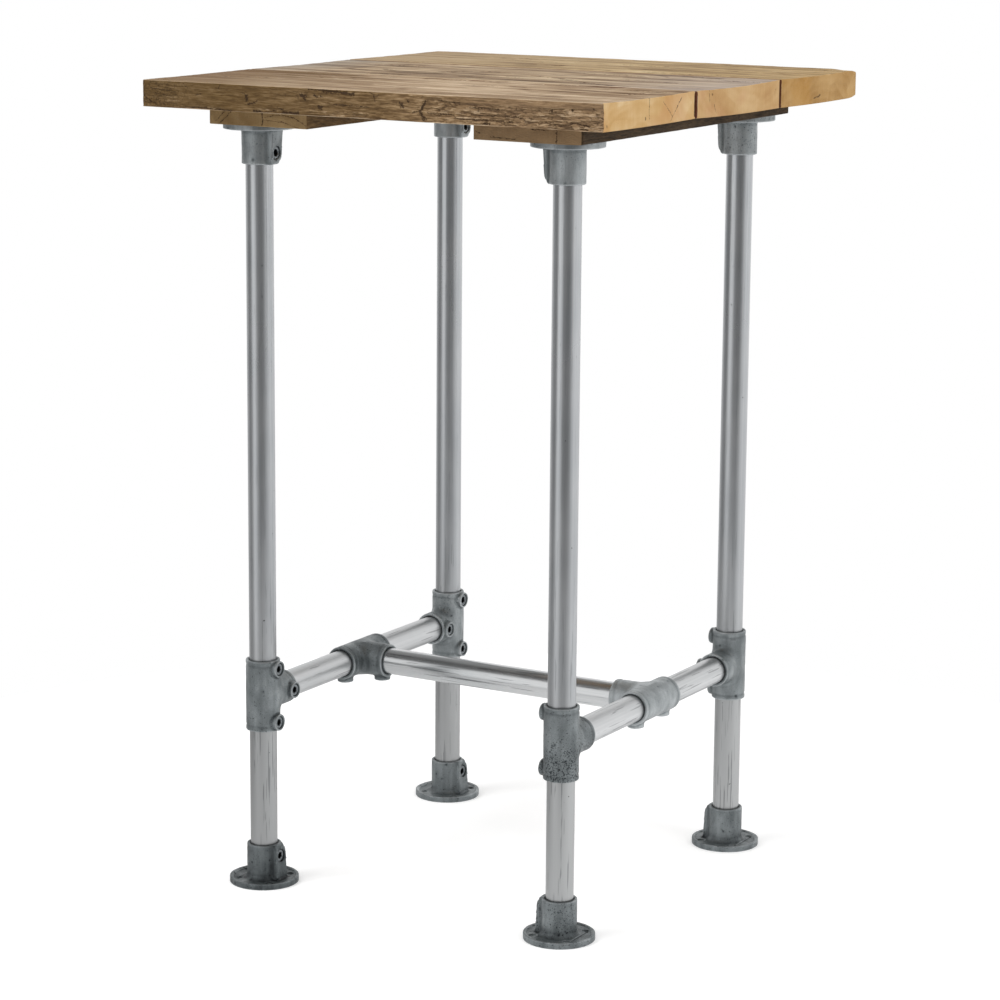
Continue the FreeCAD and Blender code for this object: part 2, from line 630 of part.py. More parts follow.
def make_set_screw():
    body = new_body("set_screw_pattern")
    profile = new_sketch(body, "XZ_Plane", "set_screw_profile")
    add_outline(profile, [
        ("sizes.set_screw_from", "0"),
        ("sizes.set_screw_from", "sizes.set_screw_radius - sizes.set_screw_bevel"),
        ("sizes.set_screw_from + sizes.set_screw_bevel", "sizes.set_screw_radius"),
        ("sizes.set_screw_to - sizes.set_screw_bevel", "sizes.set_screw_radius"),
        ("sizes.set_screw_to", "sizes.set_screw_radius - sizes.set_screw_bevel"),
        ("sizes.set_screw_to", "0"),
    ])
    revolve(body, profile, "set_screw_turned", "H_Axis")
    doc.recompute()
    hexagon = body.newObject("PartDesign::SubtractivePrism", "set_screw_hexagon")
    hexagon.AttachmentSupport = [(plane(body, "YZ_Plane"), "")]
    hexagon.MapMode = "FlatFace"
    hexagon.Polygon = 6
    bind(hexagon, "Circumradius", "sizes.set_screw_hex / sqrt(3)")
    bind(hexagon, "Height", "sizes.set_screw_hex_deep + sizes.cut_overrun")
    bind(hexagon, "AttachmentOffset.Base.z", "sizes.set_screw_to - sizes.set_screw_hex_deep")
    body.Tip = hexagon
    return body


def make_wood_screw(name, length):
    """A countersunk wood screw that points up, with its head's face on z = 0."""
    body = new_body(name)
    profile = new_sketch(body, "XZ_Plane", name + "_profile")
    add_outline(profile, [
        ("0", "0"),
        ("sizes.wood_screw_head_radius", "0"),
        ("sizes.wood_screw_head_radius", "sizes.wood_screw_head_edge"),
        ("sizes.wood_screw_radius", "sizes.wood_screw_neck"),
        ("sizes.wood_screw_radius", length + " - sizes.wood_screw_tip"),
        ("0", length),
    ])
    revolve(body, profile, name + "_turned", "V_Axis")
    doc.recompute()
    arms = (("slot_long", "slot_wide"), ("slot_wide", "slot_long"))
    for number, (long_side, short_side) in enumerate(arms):
        slot = body.newObject("PartDesign::SubtractiveBox", "%s_slot_%d" % (name, number))
        slot.AttachmentSupport = [(plane(body, "XY_Plane"), "")]
        slot.MapMode = "FlatFace"
        bind(slot, "Length", "sizes." + long_side)
        bind(slot, "Width", "sizes." + short_side)
        bind(slot, "Height", "sizes.slot_deep")
        bind(slot, "AttachmentOffset.Base.x", "-sizes.%s / 2" % long_side)
        bind(slot, "AttachmentOffset.Base.y", "-sizes.%s / 2" % short_side)
        body.Tip = slot
    return body


def make_group(name, pattern, places):
    """One node of separate, like screws; each place is (x, y, z, rotation)."""
    copies = []
    for number, (x, y, z, rotation) in enumerate(places):
        copy = doc.addObject("App::Link", "%s_%d" % (name, number))
        copy.LinkedObject = pattern
        place(copy, x, y, z, rotation)
        copies.append(copy)
    group = doc.addObject("Part::Compound", name)
    group.Label = name
    group.Links = copies
    keep(group, len(copies))


def tee_screw_places(x, y, rotation):
    """The three screws of a tee that stands at (x, y) and is turned."""
    places = []
    for name, local in (("boss_on_barrel", up), ("boss_on_barrel", down), ("boss_on_branch", back)):
        axis = rotation.multVec(Vector(*local))
        steps = [round(part) for part in axis]
        at = [base + (" + %d * sizes.%s" % (step, name) if step else "")
              for base, step in zip((x, y, "sizes.rail_height"), steps)]
        places.append((at[0], at[1], at[2], rotation))
    return places


set_screw = make_set_screw()
leg_tee_screws = []
foot_screws = []
top_screws = []
for corner, (leg_x, leg_y) in leg_places.items():
    side = corner.split("_")[1]
    leg_tee_screws += tee_screw_places(leg_x, leg_y, tee_turns[corner])
    foot_screws.append((leg_x, leg_y, "sizes.flange_screw_high", foot_turns[side]))
    top_screws.append((leg_x, leg_y, "sizes.batten_bottom - sizes.flange_screw_high", head_turns[side]))
rail_tee_screws = []
for side, turn in rail_tee_turns.items():
    rail_tee_screws += tee_screw_places("sizes.leg_" + side, "sizes.frame_shift_deep", turn)
make_group("leg_tee_set_screws", set_screw, leg_tee_screws)
make_group("rail_tee_set_screws", set_screw, rail_tee_screws)
make_group("foot_flange_set_screws", set_screw, foot_screws)
make_group("top_flange_set_screws", set_screw, top_screws)

# Wood screws

batten_screw = make_wood_screw("batten_screw_pattern", "sizes.batten_screw_long")
batten_screws = [(column, row_place, "sizes.batten_bottom", None)
                 for side in columns.values() for column in side
                 for row_places in rows.values() for row_place in row_places]
make_group("batten_wood_screws", batten_screw, batten_screws)
flange_screw = make_wood_screw("flange_screw_pattern", "sizes.flange_screw_long")
flange_screws = [(x, y, "sizes.flange_screw_bottom", None)
                 for corner in leg_places for x, y in flange_screw_places(corner)]
make_group("flange_wood_screws", flange_screw, flange_screws)

doc.recompute()

# Nothing is written unless every object has worked.
for item in doc.Objects:
    if "Invalid" in item.State or "Error" in item.State:
        raise SystemExit("object failed: %s %s" % (item.Label, item.State))
for part in sub_parts:
    shape = part.Shape
    if shape.isNull() or not shape.isValid():
        raise SystemExit("bad shape: " + part.Label)
    if len(shape.Solids) != solids_wanted[part.Label]:
        raise SystemExit("%s has %d solids" % (part.Label, len(shape.Solids)))

os.makedirs("parts", exist_ok=True)
for part in sub_parts:
    part.Shape.exportStep("parts/%s.step" % part.Label)
    box = part.Shape.BoundBox
    print("%-28s %2d solids %10.0f mm3  x %.1f to %.1f  y %.1f to %.1f  z %.1f to %.1f" % (
        part.Label, len(part.Shape.Solids), part.Shape.Volume,
        box.XMin, box.XMax, box.YMin, box.YMax, box.ZMin, box.ZMax))
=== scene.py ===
import functools
import math

import bpy
import numpy as np
from mathutils import Matrix, Vector


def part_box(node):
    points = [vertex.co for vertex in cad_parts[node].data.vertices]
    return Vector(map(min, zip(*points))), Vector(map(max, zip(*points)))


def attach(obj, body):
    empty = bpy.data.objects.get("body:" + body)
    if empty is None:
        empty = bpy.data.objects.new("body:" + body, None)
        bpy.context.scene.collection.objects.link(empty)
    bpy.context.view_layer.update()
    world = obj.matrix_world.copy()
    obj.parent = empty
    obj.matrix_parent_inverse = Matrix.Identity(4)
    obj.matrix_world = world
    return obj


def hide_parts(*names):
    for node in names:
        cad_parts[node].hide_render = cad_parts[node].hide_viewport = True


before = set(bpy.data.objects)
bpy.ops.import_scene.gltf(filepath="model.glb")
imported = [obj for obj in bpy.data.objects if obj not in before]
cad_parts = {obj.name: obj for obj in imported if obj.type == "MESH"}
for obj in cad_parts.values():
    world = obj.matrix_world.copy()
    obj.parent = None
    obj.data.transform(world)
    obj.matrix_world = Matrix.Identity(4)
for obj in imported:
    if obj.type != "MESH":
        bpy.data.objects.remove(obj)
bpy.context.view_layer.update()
print("frame loaded:", len(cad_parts), "nodes")

mm = 0.001                 # one millimetre in scene units
cornerNames = ("front_left", "front_right", "rear_right", "rear_left")

# The camera stands where the photo was taken from: millimetres, degrees, and a focal length for a 1000 px frame.
cameraPlace = {
    "position": (2011.4, -3483.9, 1285.2),
    "yaw": 30.147,
    "pitchDown": 11.414,
    "roll": 0.436,
    "focalPixels": 3266.7,
    "framePixels": 1000,
    "sensorWidth": 36.0,
}


def addObject(name, data):
    piece = bpy.data.objects.new(name, data)
    bpy.context.scene.collection.objects.link(piece)
    return piece


# Yaw turns the level look direction, pitch tips it down, roll turns the frame about it.
def makeCamera(place):
    yaw, pitch, roll = (math.radians(place[k]) for k in ("yaw", "pitchDown", "roll"))
    ahead, level = Vector((-math.sin(yaw), math.cos(yaw), 0)), Vector((math.cos(yaw), math.sin(yaw), 0))
    plumb = Vector((0, 0, 1))
    look = ahead * math.cos(pitch) - plumb * math.sin(pitch)
    top = plumb * math.cos(pitch) + ahead * math.sin(pitch)
    side = level * math.cos(roll) + top * math.sin(roll)
    top = top * math.cos(roll) - level * math.sin(roll)
    data = bpy.data.cameras.new("photoCamera")
    data.sensor_width = place["sensorWidth"]
    data.lens = place["focalPixels"] / place["framePixels"] * place["sensorWidth"]
    data.clip_end = 100
    camera = addObject("photoCamera", data)
    turn = Matrix((side, top, -look)).transposed().to_4x4()
    camera.matrix_world = Matrix.Translation(Vector(place["position"]) * mm) @ turn
    bpy.context.scene.camera = camera


makeCamera(cameraPlace)
bpy.context.scene.view_settings.view_transform = "Standard"
print("camera placed")


# One sRGB hex value as linear red, green, blue and alpha.
def hexColour(text):
    parts = [int(text[i:i + 2], 16) / 255 for i in (1, 3, 5)]
    return [p / 12.92 if p <= 0.04045 else ((p + 0.055) / 1.055) ** 2.4 for p in parts] + [1.0]


# What the second word of a node's kind sets. On every other kind it sets the operation.
secondWords = {"Mix": "data_type", "Attribute": "attribute_name", "TexVoronoi": "feature",
               "VectorRotate": "rotation_type"}


# Adds one shader node and gives back one of its outputs. Inputs are a list from the first socket on, or a
# dictionary: numbers, hex colours or other outputs. Steps are a colour ramp's places and hex colours.
def addNode(tree, kind, inputs, output=0, steps=()):
    kind, _, word = kind.partition(" ")
    node = tree.nodes.new("ShaderNode" + kind)
    if word:
        setattr(node, secondWords.get(kind, "operation"), word)
    for number, (place, colour) in enumerate(steps):
        if number >= len(node.color_ramp.elements):
            node.color_ramp.elements.new(1.0)
        node.color_ramp.elements[number].position = place
        node.color_ramp.elements[number].color = hexColour(colour)
    for socket, value in inputs.items() if isinstance(inputs, dict) else enumerate(inputs):
        if isinstance(value, bpy.types.NodeSocket):
            tree.links.new(value, node.inputs[socket])
        else:
            node.inputs[socket].default_value = hexColour(value) if isinstance(value, str) else value
    return node.outputs[output] if len(node.outputs) else node


def newMaterial(name):
    material = bpy.data.materials.new(name)
    material.use_nodes = True
    material.node_tree.nodes.clear()
    return material, functools.partial(addNode, material.node_tree)


# Noise stretched over an object's own place in millimetres. Each row gives the cells per millimetre on the three
# axes, the shift, detail and roughness, and the noise that counts as none and as all.
def noisePatterns(add, rows):
    inMm = add("Mapping", {"Vector": add("TexCoord", [], "Object"), "Scale": (1 / mm, 1 / mm, 1 / mm)})
    pattern = {}
    for key, cells, shift, detail, roughness, none, whole in rows:
        spot = add("Mapping", {"Vector": inMm, "Scale": cells, "Location": shift})
        noise = add("TexNoise", {"Vector": spot, "Scale": 1.0, "Detail": detail, "Roughness": roughness})
        pattern[key] = add("MapRange", [noise, none, whole])
    return inMm, pattern


# The last nodes of a finish: bump from a height, with its distance in millimetres, the shader and the output.
def closeMaterial(add, height, strength, distance, finish):
    bumped = add("Bump", {"Height": height, "Strength": strength, "Distance": distance * mm})
    add("OutputMaterial", [add("BsdfPrincipled", {**finish, "Normal": bumped})])


def dress(piece, material):
    piece.data.materials.clear()
    piece.data.materials.append(material)


# A finished mesh stands for a CAD node.
def standFor(piece, nodeName, material):
    dress(piece, material)
    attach(piece, "root")
    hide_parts(nodeName)


def smoothStep(t):
    t = np.clip(t, 0, 1)
    return t * t * (3 - 2 * t)


tableSize = 4096           # a power of two, so that a key's low bits are a place in the table
randomTable = np.random.default_rng(20).random(tableSize)


# Random numbers for whole lattice places: large primes mix the axes and the seed into one key. A bit shift
# gives a further number for the same place.
def latticeRandom(at, seed, shift=0):
    key = seed * 2654435
    for axis, prime in enumerate((73856093, 19349663, 83492791)[:at.shape[1]]):
        key = key ^ (at[:, axis] * prime)
    return randomTable[(key >> shift) & (tableSize - 1)]


# Smooth noise from -1 to 1: random numbers on a lattice of the given cell size, blended by smooth steps.
def latticeNoise(points, cell, seed):
    scaled = points / np.asarray(cell, float)
    low = np.floor(scaled).astype(np.int64)
    blend = smoothStep(scaled - low)
    total = np.zeros(len(points))
    for corner in np.ndindex(2, 2, 2):
        weight = np.prod(np.where(np.array(corner) == 1, blend, 1 - blend), axis=1)
        total += weight * latticeRandom(low + corner, seed)
    return total * 2 - 1


def layeredNoise(points, layers, seed):
    return sum(latticeNoise(points, cell, seed + k) * weight for k, cell, weight in layers)


# Whole arrays of points in millimetres and of four-sided faces become a mesh object.
def meshFromArrays(name, points, faces, smooth=True):
    mesh = bpy.data.meshes.new(name)
    mesh.from_pydata((points * mm).tolist(), [], faces.tolist())
    mesh.polygons.foreach_set("use_smooth", np.full(len(mesh.polygons), smooth))
    mesh.update()
    return addObject(name, mesh)


def storeShade(piece, name, values):
    attribute = piece.data.attributes.new(name, "FLOAT", "POINT")
    attribute.data.foreach_set("value", values.astype(np.float32))


# Selects one object alone and merges its points that are closer than a distance in millimetres.
def mergePoints(piece, distance, outward=False):
    bpy.ops.object.select_all(action="DESELECT")
    bpy.context.view_layer.objects.active = piece
    piece.select_set(True)
    bpy.ops.object.mode_set(mode="EDIT")
    bpy.ops.mesh.select_all(action="SELECT")
    bpy.ops.mesh.remove_doubles(threshold=distance * mm)
    if outward:
        bpy.ops.mesh.normals_make_consistent(inside=False)
    bpy.ops.object.mode_set(mode="OBJECT")


# A finished mesh: merged, its faces outwards, and edges sharper than the given angle crisp.
def sealMesh(piece, angle=38):
    mergePoints(piece, 0.02, True)
    bpy.ops.object.shade_smooth_by_angle(angle=math.radians(angle))


# Faces of a grid of rings, each closed on itself.
def ringFaces(rings, around):
    i, j = np.meshgrid(np.arange(rings - 1), np.arange(around), indexing="ij")
    after = (j + 1) % around
    return np.stack([i * around + j, (i + 1) * around + j, (i + 1) * around + after, i * around + after],
                    axis=-1).reshape(-1, 4)


# A plank is a rounded oblong section carried along its length. Its own axes are along, across and up, in
# millimetres from its lowest corner. What the keys of a plank say:
# step: spacing of its rings; cup and edgeDrop: how hollow its top is, and how much its front and rear edges drop
# gap: room left at its front and its rear; roughSide: how rough those two sides are
# round: rounding of the top front, top rear, under front and under rear edges
# endRound: easing of the ends, at the flat faces, the front side, the rear side and the rear corners
# torn: zones of torn fibre, (from, to) along and (from, to) up on the front side, and a strength
# marks: strokes on each face, from one place to another and a width, in the table's millimetres in the plane of
# the face: cracks, splits and worm holes, read off the photo; on the top they are painted shade where the surface
# steps down, along a worn groove
# outerCorner, wane and belly: wear of the corners and the right end, see makePlank and closePlank
plankGrain = {
    "sideStep": 0.7,          # spacing of points on a side that shows
    "topStep": 2.4,
    "underStep": 7.0,
    "cornerPoints": 4,
    "capRings": 9,
    "endSteps": (0.0, 0.25, 0.7, 1.3, 2.2, 3.3, 4.6),
    "splinter": (21.0, 2.7),  # one torn splinter, along and up
    "sliver": (7.0, 1.3),
    # layers of noise: a number added to the seed, the cell and the weight
    "wave": ((9, (60, 9, 5), 0.5), (10, (18, 5, 2), 0.35)),
    "ridges": ((12, (150, 14, 9), 0.5), (13, (55, 5, 9), 0.35)),
    "saw": ((60, (9, 6, 40), 0.08), (61, (9, 30, 11), 0.15)),
}
plainBoard = {"along": "x", "step": 2.0, "edgeDrop": (0.0, 0.0), "outerCorner": 0.0, "torn": []}
plainBatten = {**plainBoard, "along": "y", "cup": 0.0, "gap": (0.0, 0.0), "roughSide": (0.35, 0.35),
               "endRound": (0.7, 0.7, 0.7, 0.7)}
boards = {
    "top_board_front": {
        "seed": 3, "step": 1.6, "cup": 1.2, "gap": (0.0, 1.2), "roughSide": (1.0, 0.1),
        "round": (1.5, 2.2, 1.6, 1.2), "endRound": (0.9, 1.2, 3.2, 0.9),
        "torn": [
            ((390, 640), (-2, 24), 0.8), ((480, 640), (-2, 11), 1.0), ((200, 232), (18, 26), 0.7),
            ((95, 130), (20, 26), 0.4), ((225, 330), (0, 9), 0.5), ((150, 222), (0, 5), 0.8),
            ((40, 120), (-2, 3.5), 0.8), ((0, 60), (4, 30), 0.35), ((370, 430), (12, 30), 0.5),
            ((255, 290), (14, 24), 0.45)],
        "marks": {
            "side": [
                (-161.6, 992.2, -160.9, 987.2, 2.8), (-166, 995, -161.6, 992.2, 0.8),
                (-159, 983.2, -149, 984.8, 2.1), (-149, 984.8, -147, 987, 1), (-85.5, 996.4, -80.5, 995.2, 4.5),
                (-81, 992, -78, 991, 2.2), (-107, 993.8, -106.4, 997.2, 1.1), (-60.5, 984.2, -56.5, 983.6, 2.9),
                (-66.5, 997.4, -63, 995.2, 2), (-58, 996, -55, 995, 1), (-111, 975.6, -105, 974.6, 3.6),
                (-103.6, 975, -88, 975.6, 2.2), (-118, 980, -110, 978.4, 0.8), (-54.7, 1003.2, -14, 1000.6, 3.1),
                (-76, 1003.8, -45, 1002.6, 0.9), (13.6, 1001.5, 15.6, 993.2, 0.9), (8, 1003.8, 13.6, 1001.5, 0.7),
                (13.6, 998.5, 22, 1001.5, 0.6), (49, 993, 53, 989, 3.1), (53, 989, 55.5, 988.6, 1.1),
                (83, 997, 75.6, 985, 2.8), (75.6, 985, 81.5, 976.6, 3.1), (75.6, 986, 66, 983, 1.2),
                (60.4, 995.6, 60.4, 994.8, 2.1), (200, 995.6, 200.2, 992.6, 1.2), (151.8, 989.6, 151.8, 988.6, 2),
                (244.7, 994.4, 245.4, 993.2, 2), (270.7, 996, 271.4, 994.6, 2), (297.8, 998.4, 297.8, 997.6, 2.2),
                (282, 980, 292, 979, 1.2), (158.8, 975.4, 166, 975.2, 2.2), (139.8, 992.8, 177.4, 992.1, 0.8),
                (149.8, 984.8, 208.9, 984.4, 0.7), (120, 979.6, 196, 978.8, 0.7), (-199.2, 1003.2, -201, 999, 0.8),
                (-252, 1003.2, -245, 998, 0.6), (-240, 974.4, -210, 974.4, 2.1), (-205, 974.6, -182, 974.2, 1.2),
                (-151.1, 974.7, -142, 974.7, 2), (-128, 976, -119, 976.3, 1.2), (-233, 990, -226, 991.5, 0.8),
                (-309, 987, -297, 980, 0.7), (-309, 983, -290, 977.5, 0.6), (-300, 996, -262, 992, 0.5),
                (-296, 990.5, -268, 987, 0.45), (-40, 988, 8, 986.6, 0.7), (86, 984, 120, 983.5, 0.8),
                (100, 998.4, 128, 997.6, 0.7)],
            "top": [
                (-91, -133, -86, -132, 6), (-160, -108, -125, -112, 5), (-20, -122, 60, -118, 4.5),
                (120, -124, 215, -116, 6), (262, -200, 272, -165, 3), (-265, -230, -205, -216, 5),
                (40, -180, 120, -172, 4), (235, -142, 300, -150, 4)],
            "end": [
                (-227.4, 1004, -227, 980.5, 0.95), (-236.4, 982.2, -236.8, 980.7, 1.7),
                (-327, 979.2, -327, 978, 1.4), (-193.5, 997.5, -170.1, 979.8, 0.7),
                (-170.1, 979.8, -175.9, 974, 0.55), (-168, 981, -148.3, 1000.8, 0.65)],
        },
    },
    "top_board_middle": {
        "seed": 11, "cup": 1.9, "edgeDrop": (0.0, 0.3), "gap": (1.1, 1.2), "roughSide": (0.1, 0.1),
        "belly": (0.0, 2.4), "round": (1.3, 1.0, 1.4, 1.4), "endRound": (0.8, 2.6, 1.8, 0.8),
        "marks": {
            "top": [
                (-151.1, -84.1, -103, -79.5, 8), (26, 3.9, 72.6, -12, 6), (72.6, -12, 150, -66, 8),
                (140, -72, 206, -92, 6), (-178, -8, -158, -12, 9), (-168, -24, -156, -24, 7), (-97, -2, -80, 2, 9),
                (-91, 12, -74, 20, 8), (-31.4, -64.1, -5, -70, 6), (-62, 34, -22, 28, 5), (188, 98, 242, 92, 6),
                (236, 66, 300, 74, 5), (150, 20, 230, 6, 6), (-230, 60, -170, 66, 5), (60, 78, 140, 70, 5),
                (-20, -30, 30, -36, 5)],
            "end": [
                (-79, 1003.8, -77.6, 990.5, 0.6), (-71, 999.1, -70.9, 997.8, 1.6), (-65.3, 986.1, -60.6, 976.2, 0.6)],
        },
    },
    "top_board_rear": {
        "seed": 23, "cup": 1.4, "edgeDrop": (0.0, 0.4), "gap": (1.2, 0.0), "roughSide": (0.1, 0.6),
        "outerCorner": 4.5, "wane": (24.0, 4.6), "belly": (2.5, 3.4), "round": (1.2, 3.0, 1.4, 3.0),
        "endRound": (0.9, 1.4, 2.5, 2.5),
        "marks": {
            "top": [
                (-238, 121, -204, 124, 8), (-77.4, 185.4, -24.4, 171, 5), (113.8, 140, 194.3, 126, 7),
                (191, 149.1, 242, 128, 5), (23.4, 250.3, 97.1, 246.8, 5), (-150, 230, -60, 226, 4)],
            "end": [
                (209.2, 976.4, 222, 978.6, 1.2), (220, 977, 227, 979.4, 1.9)],
        },
    },
}
battens = {
    "batten_left": {
        "seed": 31, "round": (0.5, 0.5, 1.1, 1.1),
        "marks": {
            "end": [
                (-173, 971.4, -173.2, 954.6, 1.35), (-216, 970, -235.4, 952.7, 0.7),
                (-227, 969, -239.9, 956.5, 0.65), (-170.6, 963.2, -157, 966.4, 0.5),
                (-157, 966.4, -144.2, 966.9, 0.5), (-144.2, 966.9, -130, 964.8, 0.6),
                (-130, 964.8, -117, 959.5, 0.65), (-117, 959.5, -109, 953, 0.55), (-170, 959.8, -144.3, 959.1, 0.45),
                (-144.3, 959.1, -123.3, 953.4, 0.45)],
        },
    },
    "batten_right": {
        "seed": 47, "round": (0.5, 0.5, 1.1, 1.3),
        "marks": {
            "side": [
                (112.5, 972, 112.5, 955, 1.2), (-40, 968, 30, 966.5, 0.7), (150, 962, 215, 961, 0.8)],
            "end": [
                (224.2, 972, 224.6, 953, 1.1), (118, 962, 124, 960, 1), (140, 956, 171, 955.4, 0.8),
                (190, 968, 214, 966.8, 0.6)],
        },
    },
}


# Splinters: points fall into jittered cells, one splinter each. Gives the splinter's own random level, and how
# far a point is from the next splinter, in cells.
def splinterCells(along, height, cell, seed):
    scaled = np.stack([along / cell[0], height / cell[1]], 1)
    base = np.floor(scaled).astype(np.int64)
    nearest, second, level = np.full(len(along), 9.0), np.full(len(along), 9.0), np.zeros(len(along))
    for step in np.ndindex(3, 3):
        at = base + step - 1
        seat = at + np.stack([latticeRandom(at, seed), latticeRandom(at, seed, 5)], 1)
        away = np.linalg.norm(scaled - seat, axis=1)
        closer = away < nearest
        second = np.where(closer, nearest, np.minimum(second, away))
        level = np.where(closer, latticeRandom(at, seed, 9), level)
        nearest = np.minimum(nearest, away)
    return level, second - nearest


# Depth of torn fibre: long splinters at random levels with slivers on them and a groove round each. Also gives
# how far out each one stands, and the groove.
def tornFibre(along, height, seed):
    flat = np.stack([along, height, 0 * height], 1)
    along = along + latticeNoise(flat, (14, 3, 1), seed) * 5
    height = height + latticeNoise(flat, (16, 5, 1), seed + 1) * 1.5
    along = along + latticeNoise(flat, (3.5, 1.2, 1), seed + 2) * 2.2
    height = height + latticeNoise(flat, (4.5, 1.5, 1), seed + 3) * 0.55
    long, longGap = splinterCells(along, height, plankGrain["splinter"], seed)
    short, shortGap = splinterCells(along, height, plankGrain["sliver"], seed + 7)
    broken = smoothStep(latticeNoise(flat, (11, 3, 1), seed + 4) * 1.6 + 0.5)
    groove = np.maximum(1 - smoothStep(longGap / 0.30), 0.7 * (1 - smoothStep(shortGap / 0.28))) * broken
    level = 0.6 * long + 0.4 * short
    return level * 2.0 + groove * 0.6, 1 - level, groove


# Points around a section: the stretch each is on, and how far along that stretch, from 0 to 1.
def sectionPlan(width, thick, facts):
    grain = plankGrain
    sides = [max(5, round(thick / grain["sideStep"])) if rough > 0.3 else 5 for rough in facts["roughSide"]]
    across, under = (np.linspace(0, 1, round(width / grain[k]) + 2)[1:-1] for k in ("topStep", "underStep"))
    corner = np.linspace(0, 1, grain["cornerPoints"])
    stretches = [("front", np.linspace(0, 1, sides[0] + 2)[1:-1]), ("frontTop", corner), ("top", across),
                 ("rearTop", corner), ("rear", np.linspace(0, 1, sides[1] + 2)[1:-1]), ("rearUnder", corner),
                 ("under", 1 - under), ("frontUnder", corner)]
    return np.concatenate([[n] * len(v) for n, v in stretches]), np.concatenate([v for n, v in stretches])


# How much a worn groove takes off along the strokes on the top: a bell shape across each stroke.
def strokeGrooves(world, strokes, wide=2.6, deep=1.3):
    groove = np.zeros(len(world))
    wander = np.stack([latticeNoise(world, (12, 7, 50), 5), latticeNoise(world, (14, 6, 50), 6)], 1)
    flat = world[:, :2] + wander * 2.5
    for *stroke, _ in strokes:
        start, end = np.array(stroke, float).reshape(2, 2)
        run = end - start
        share = np.clip(((flat - start) @ run) / (run @ run), 0, 1)
        away = np.linalg.norm(flat - start - share[:, None] * run, axis=1)
        groove = np.maximum(groove, np.exp(-(away / wide) ** 2))
    return groove * deep


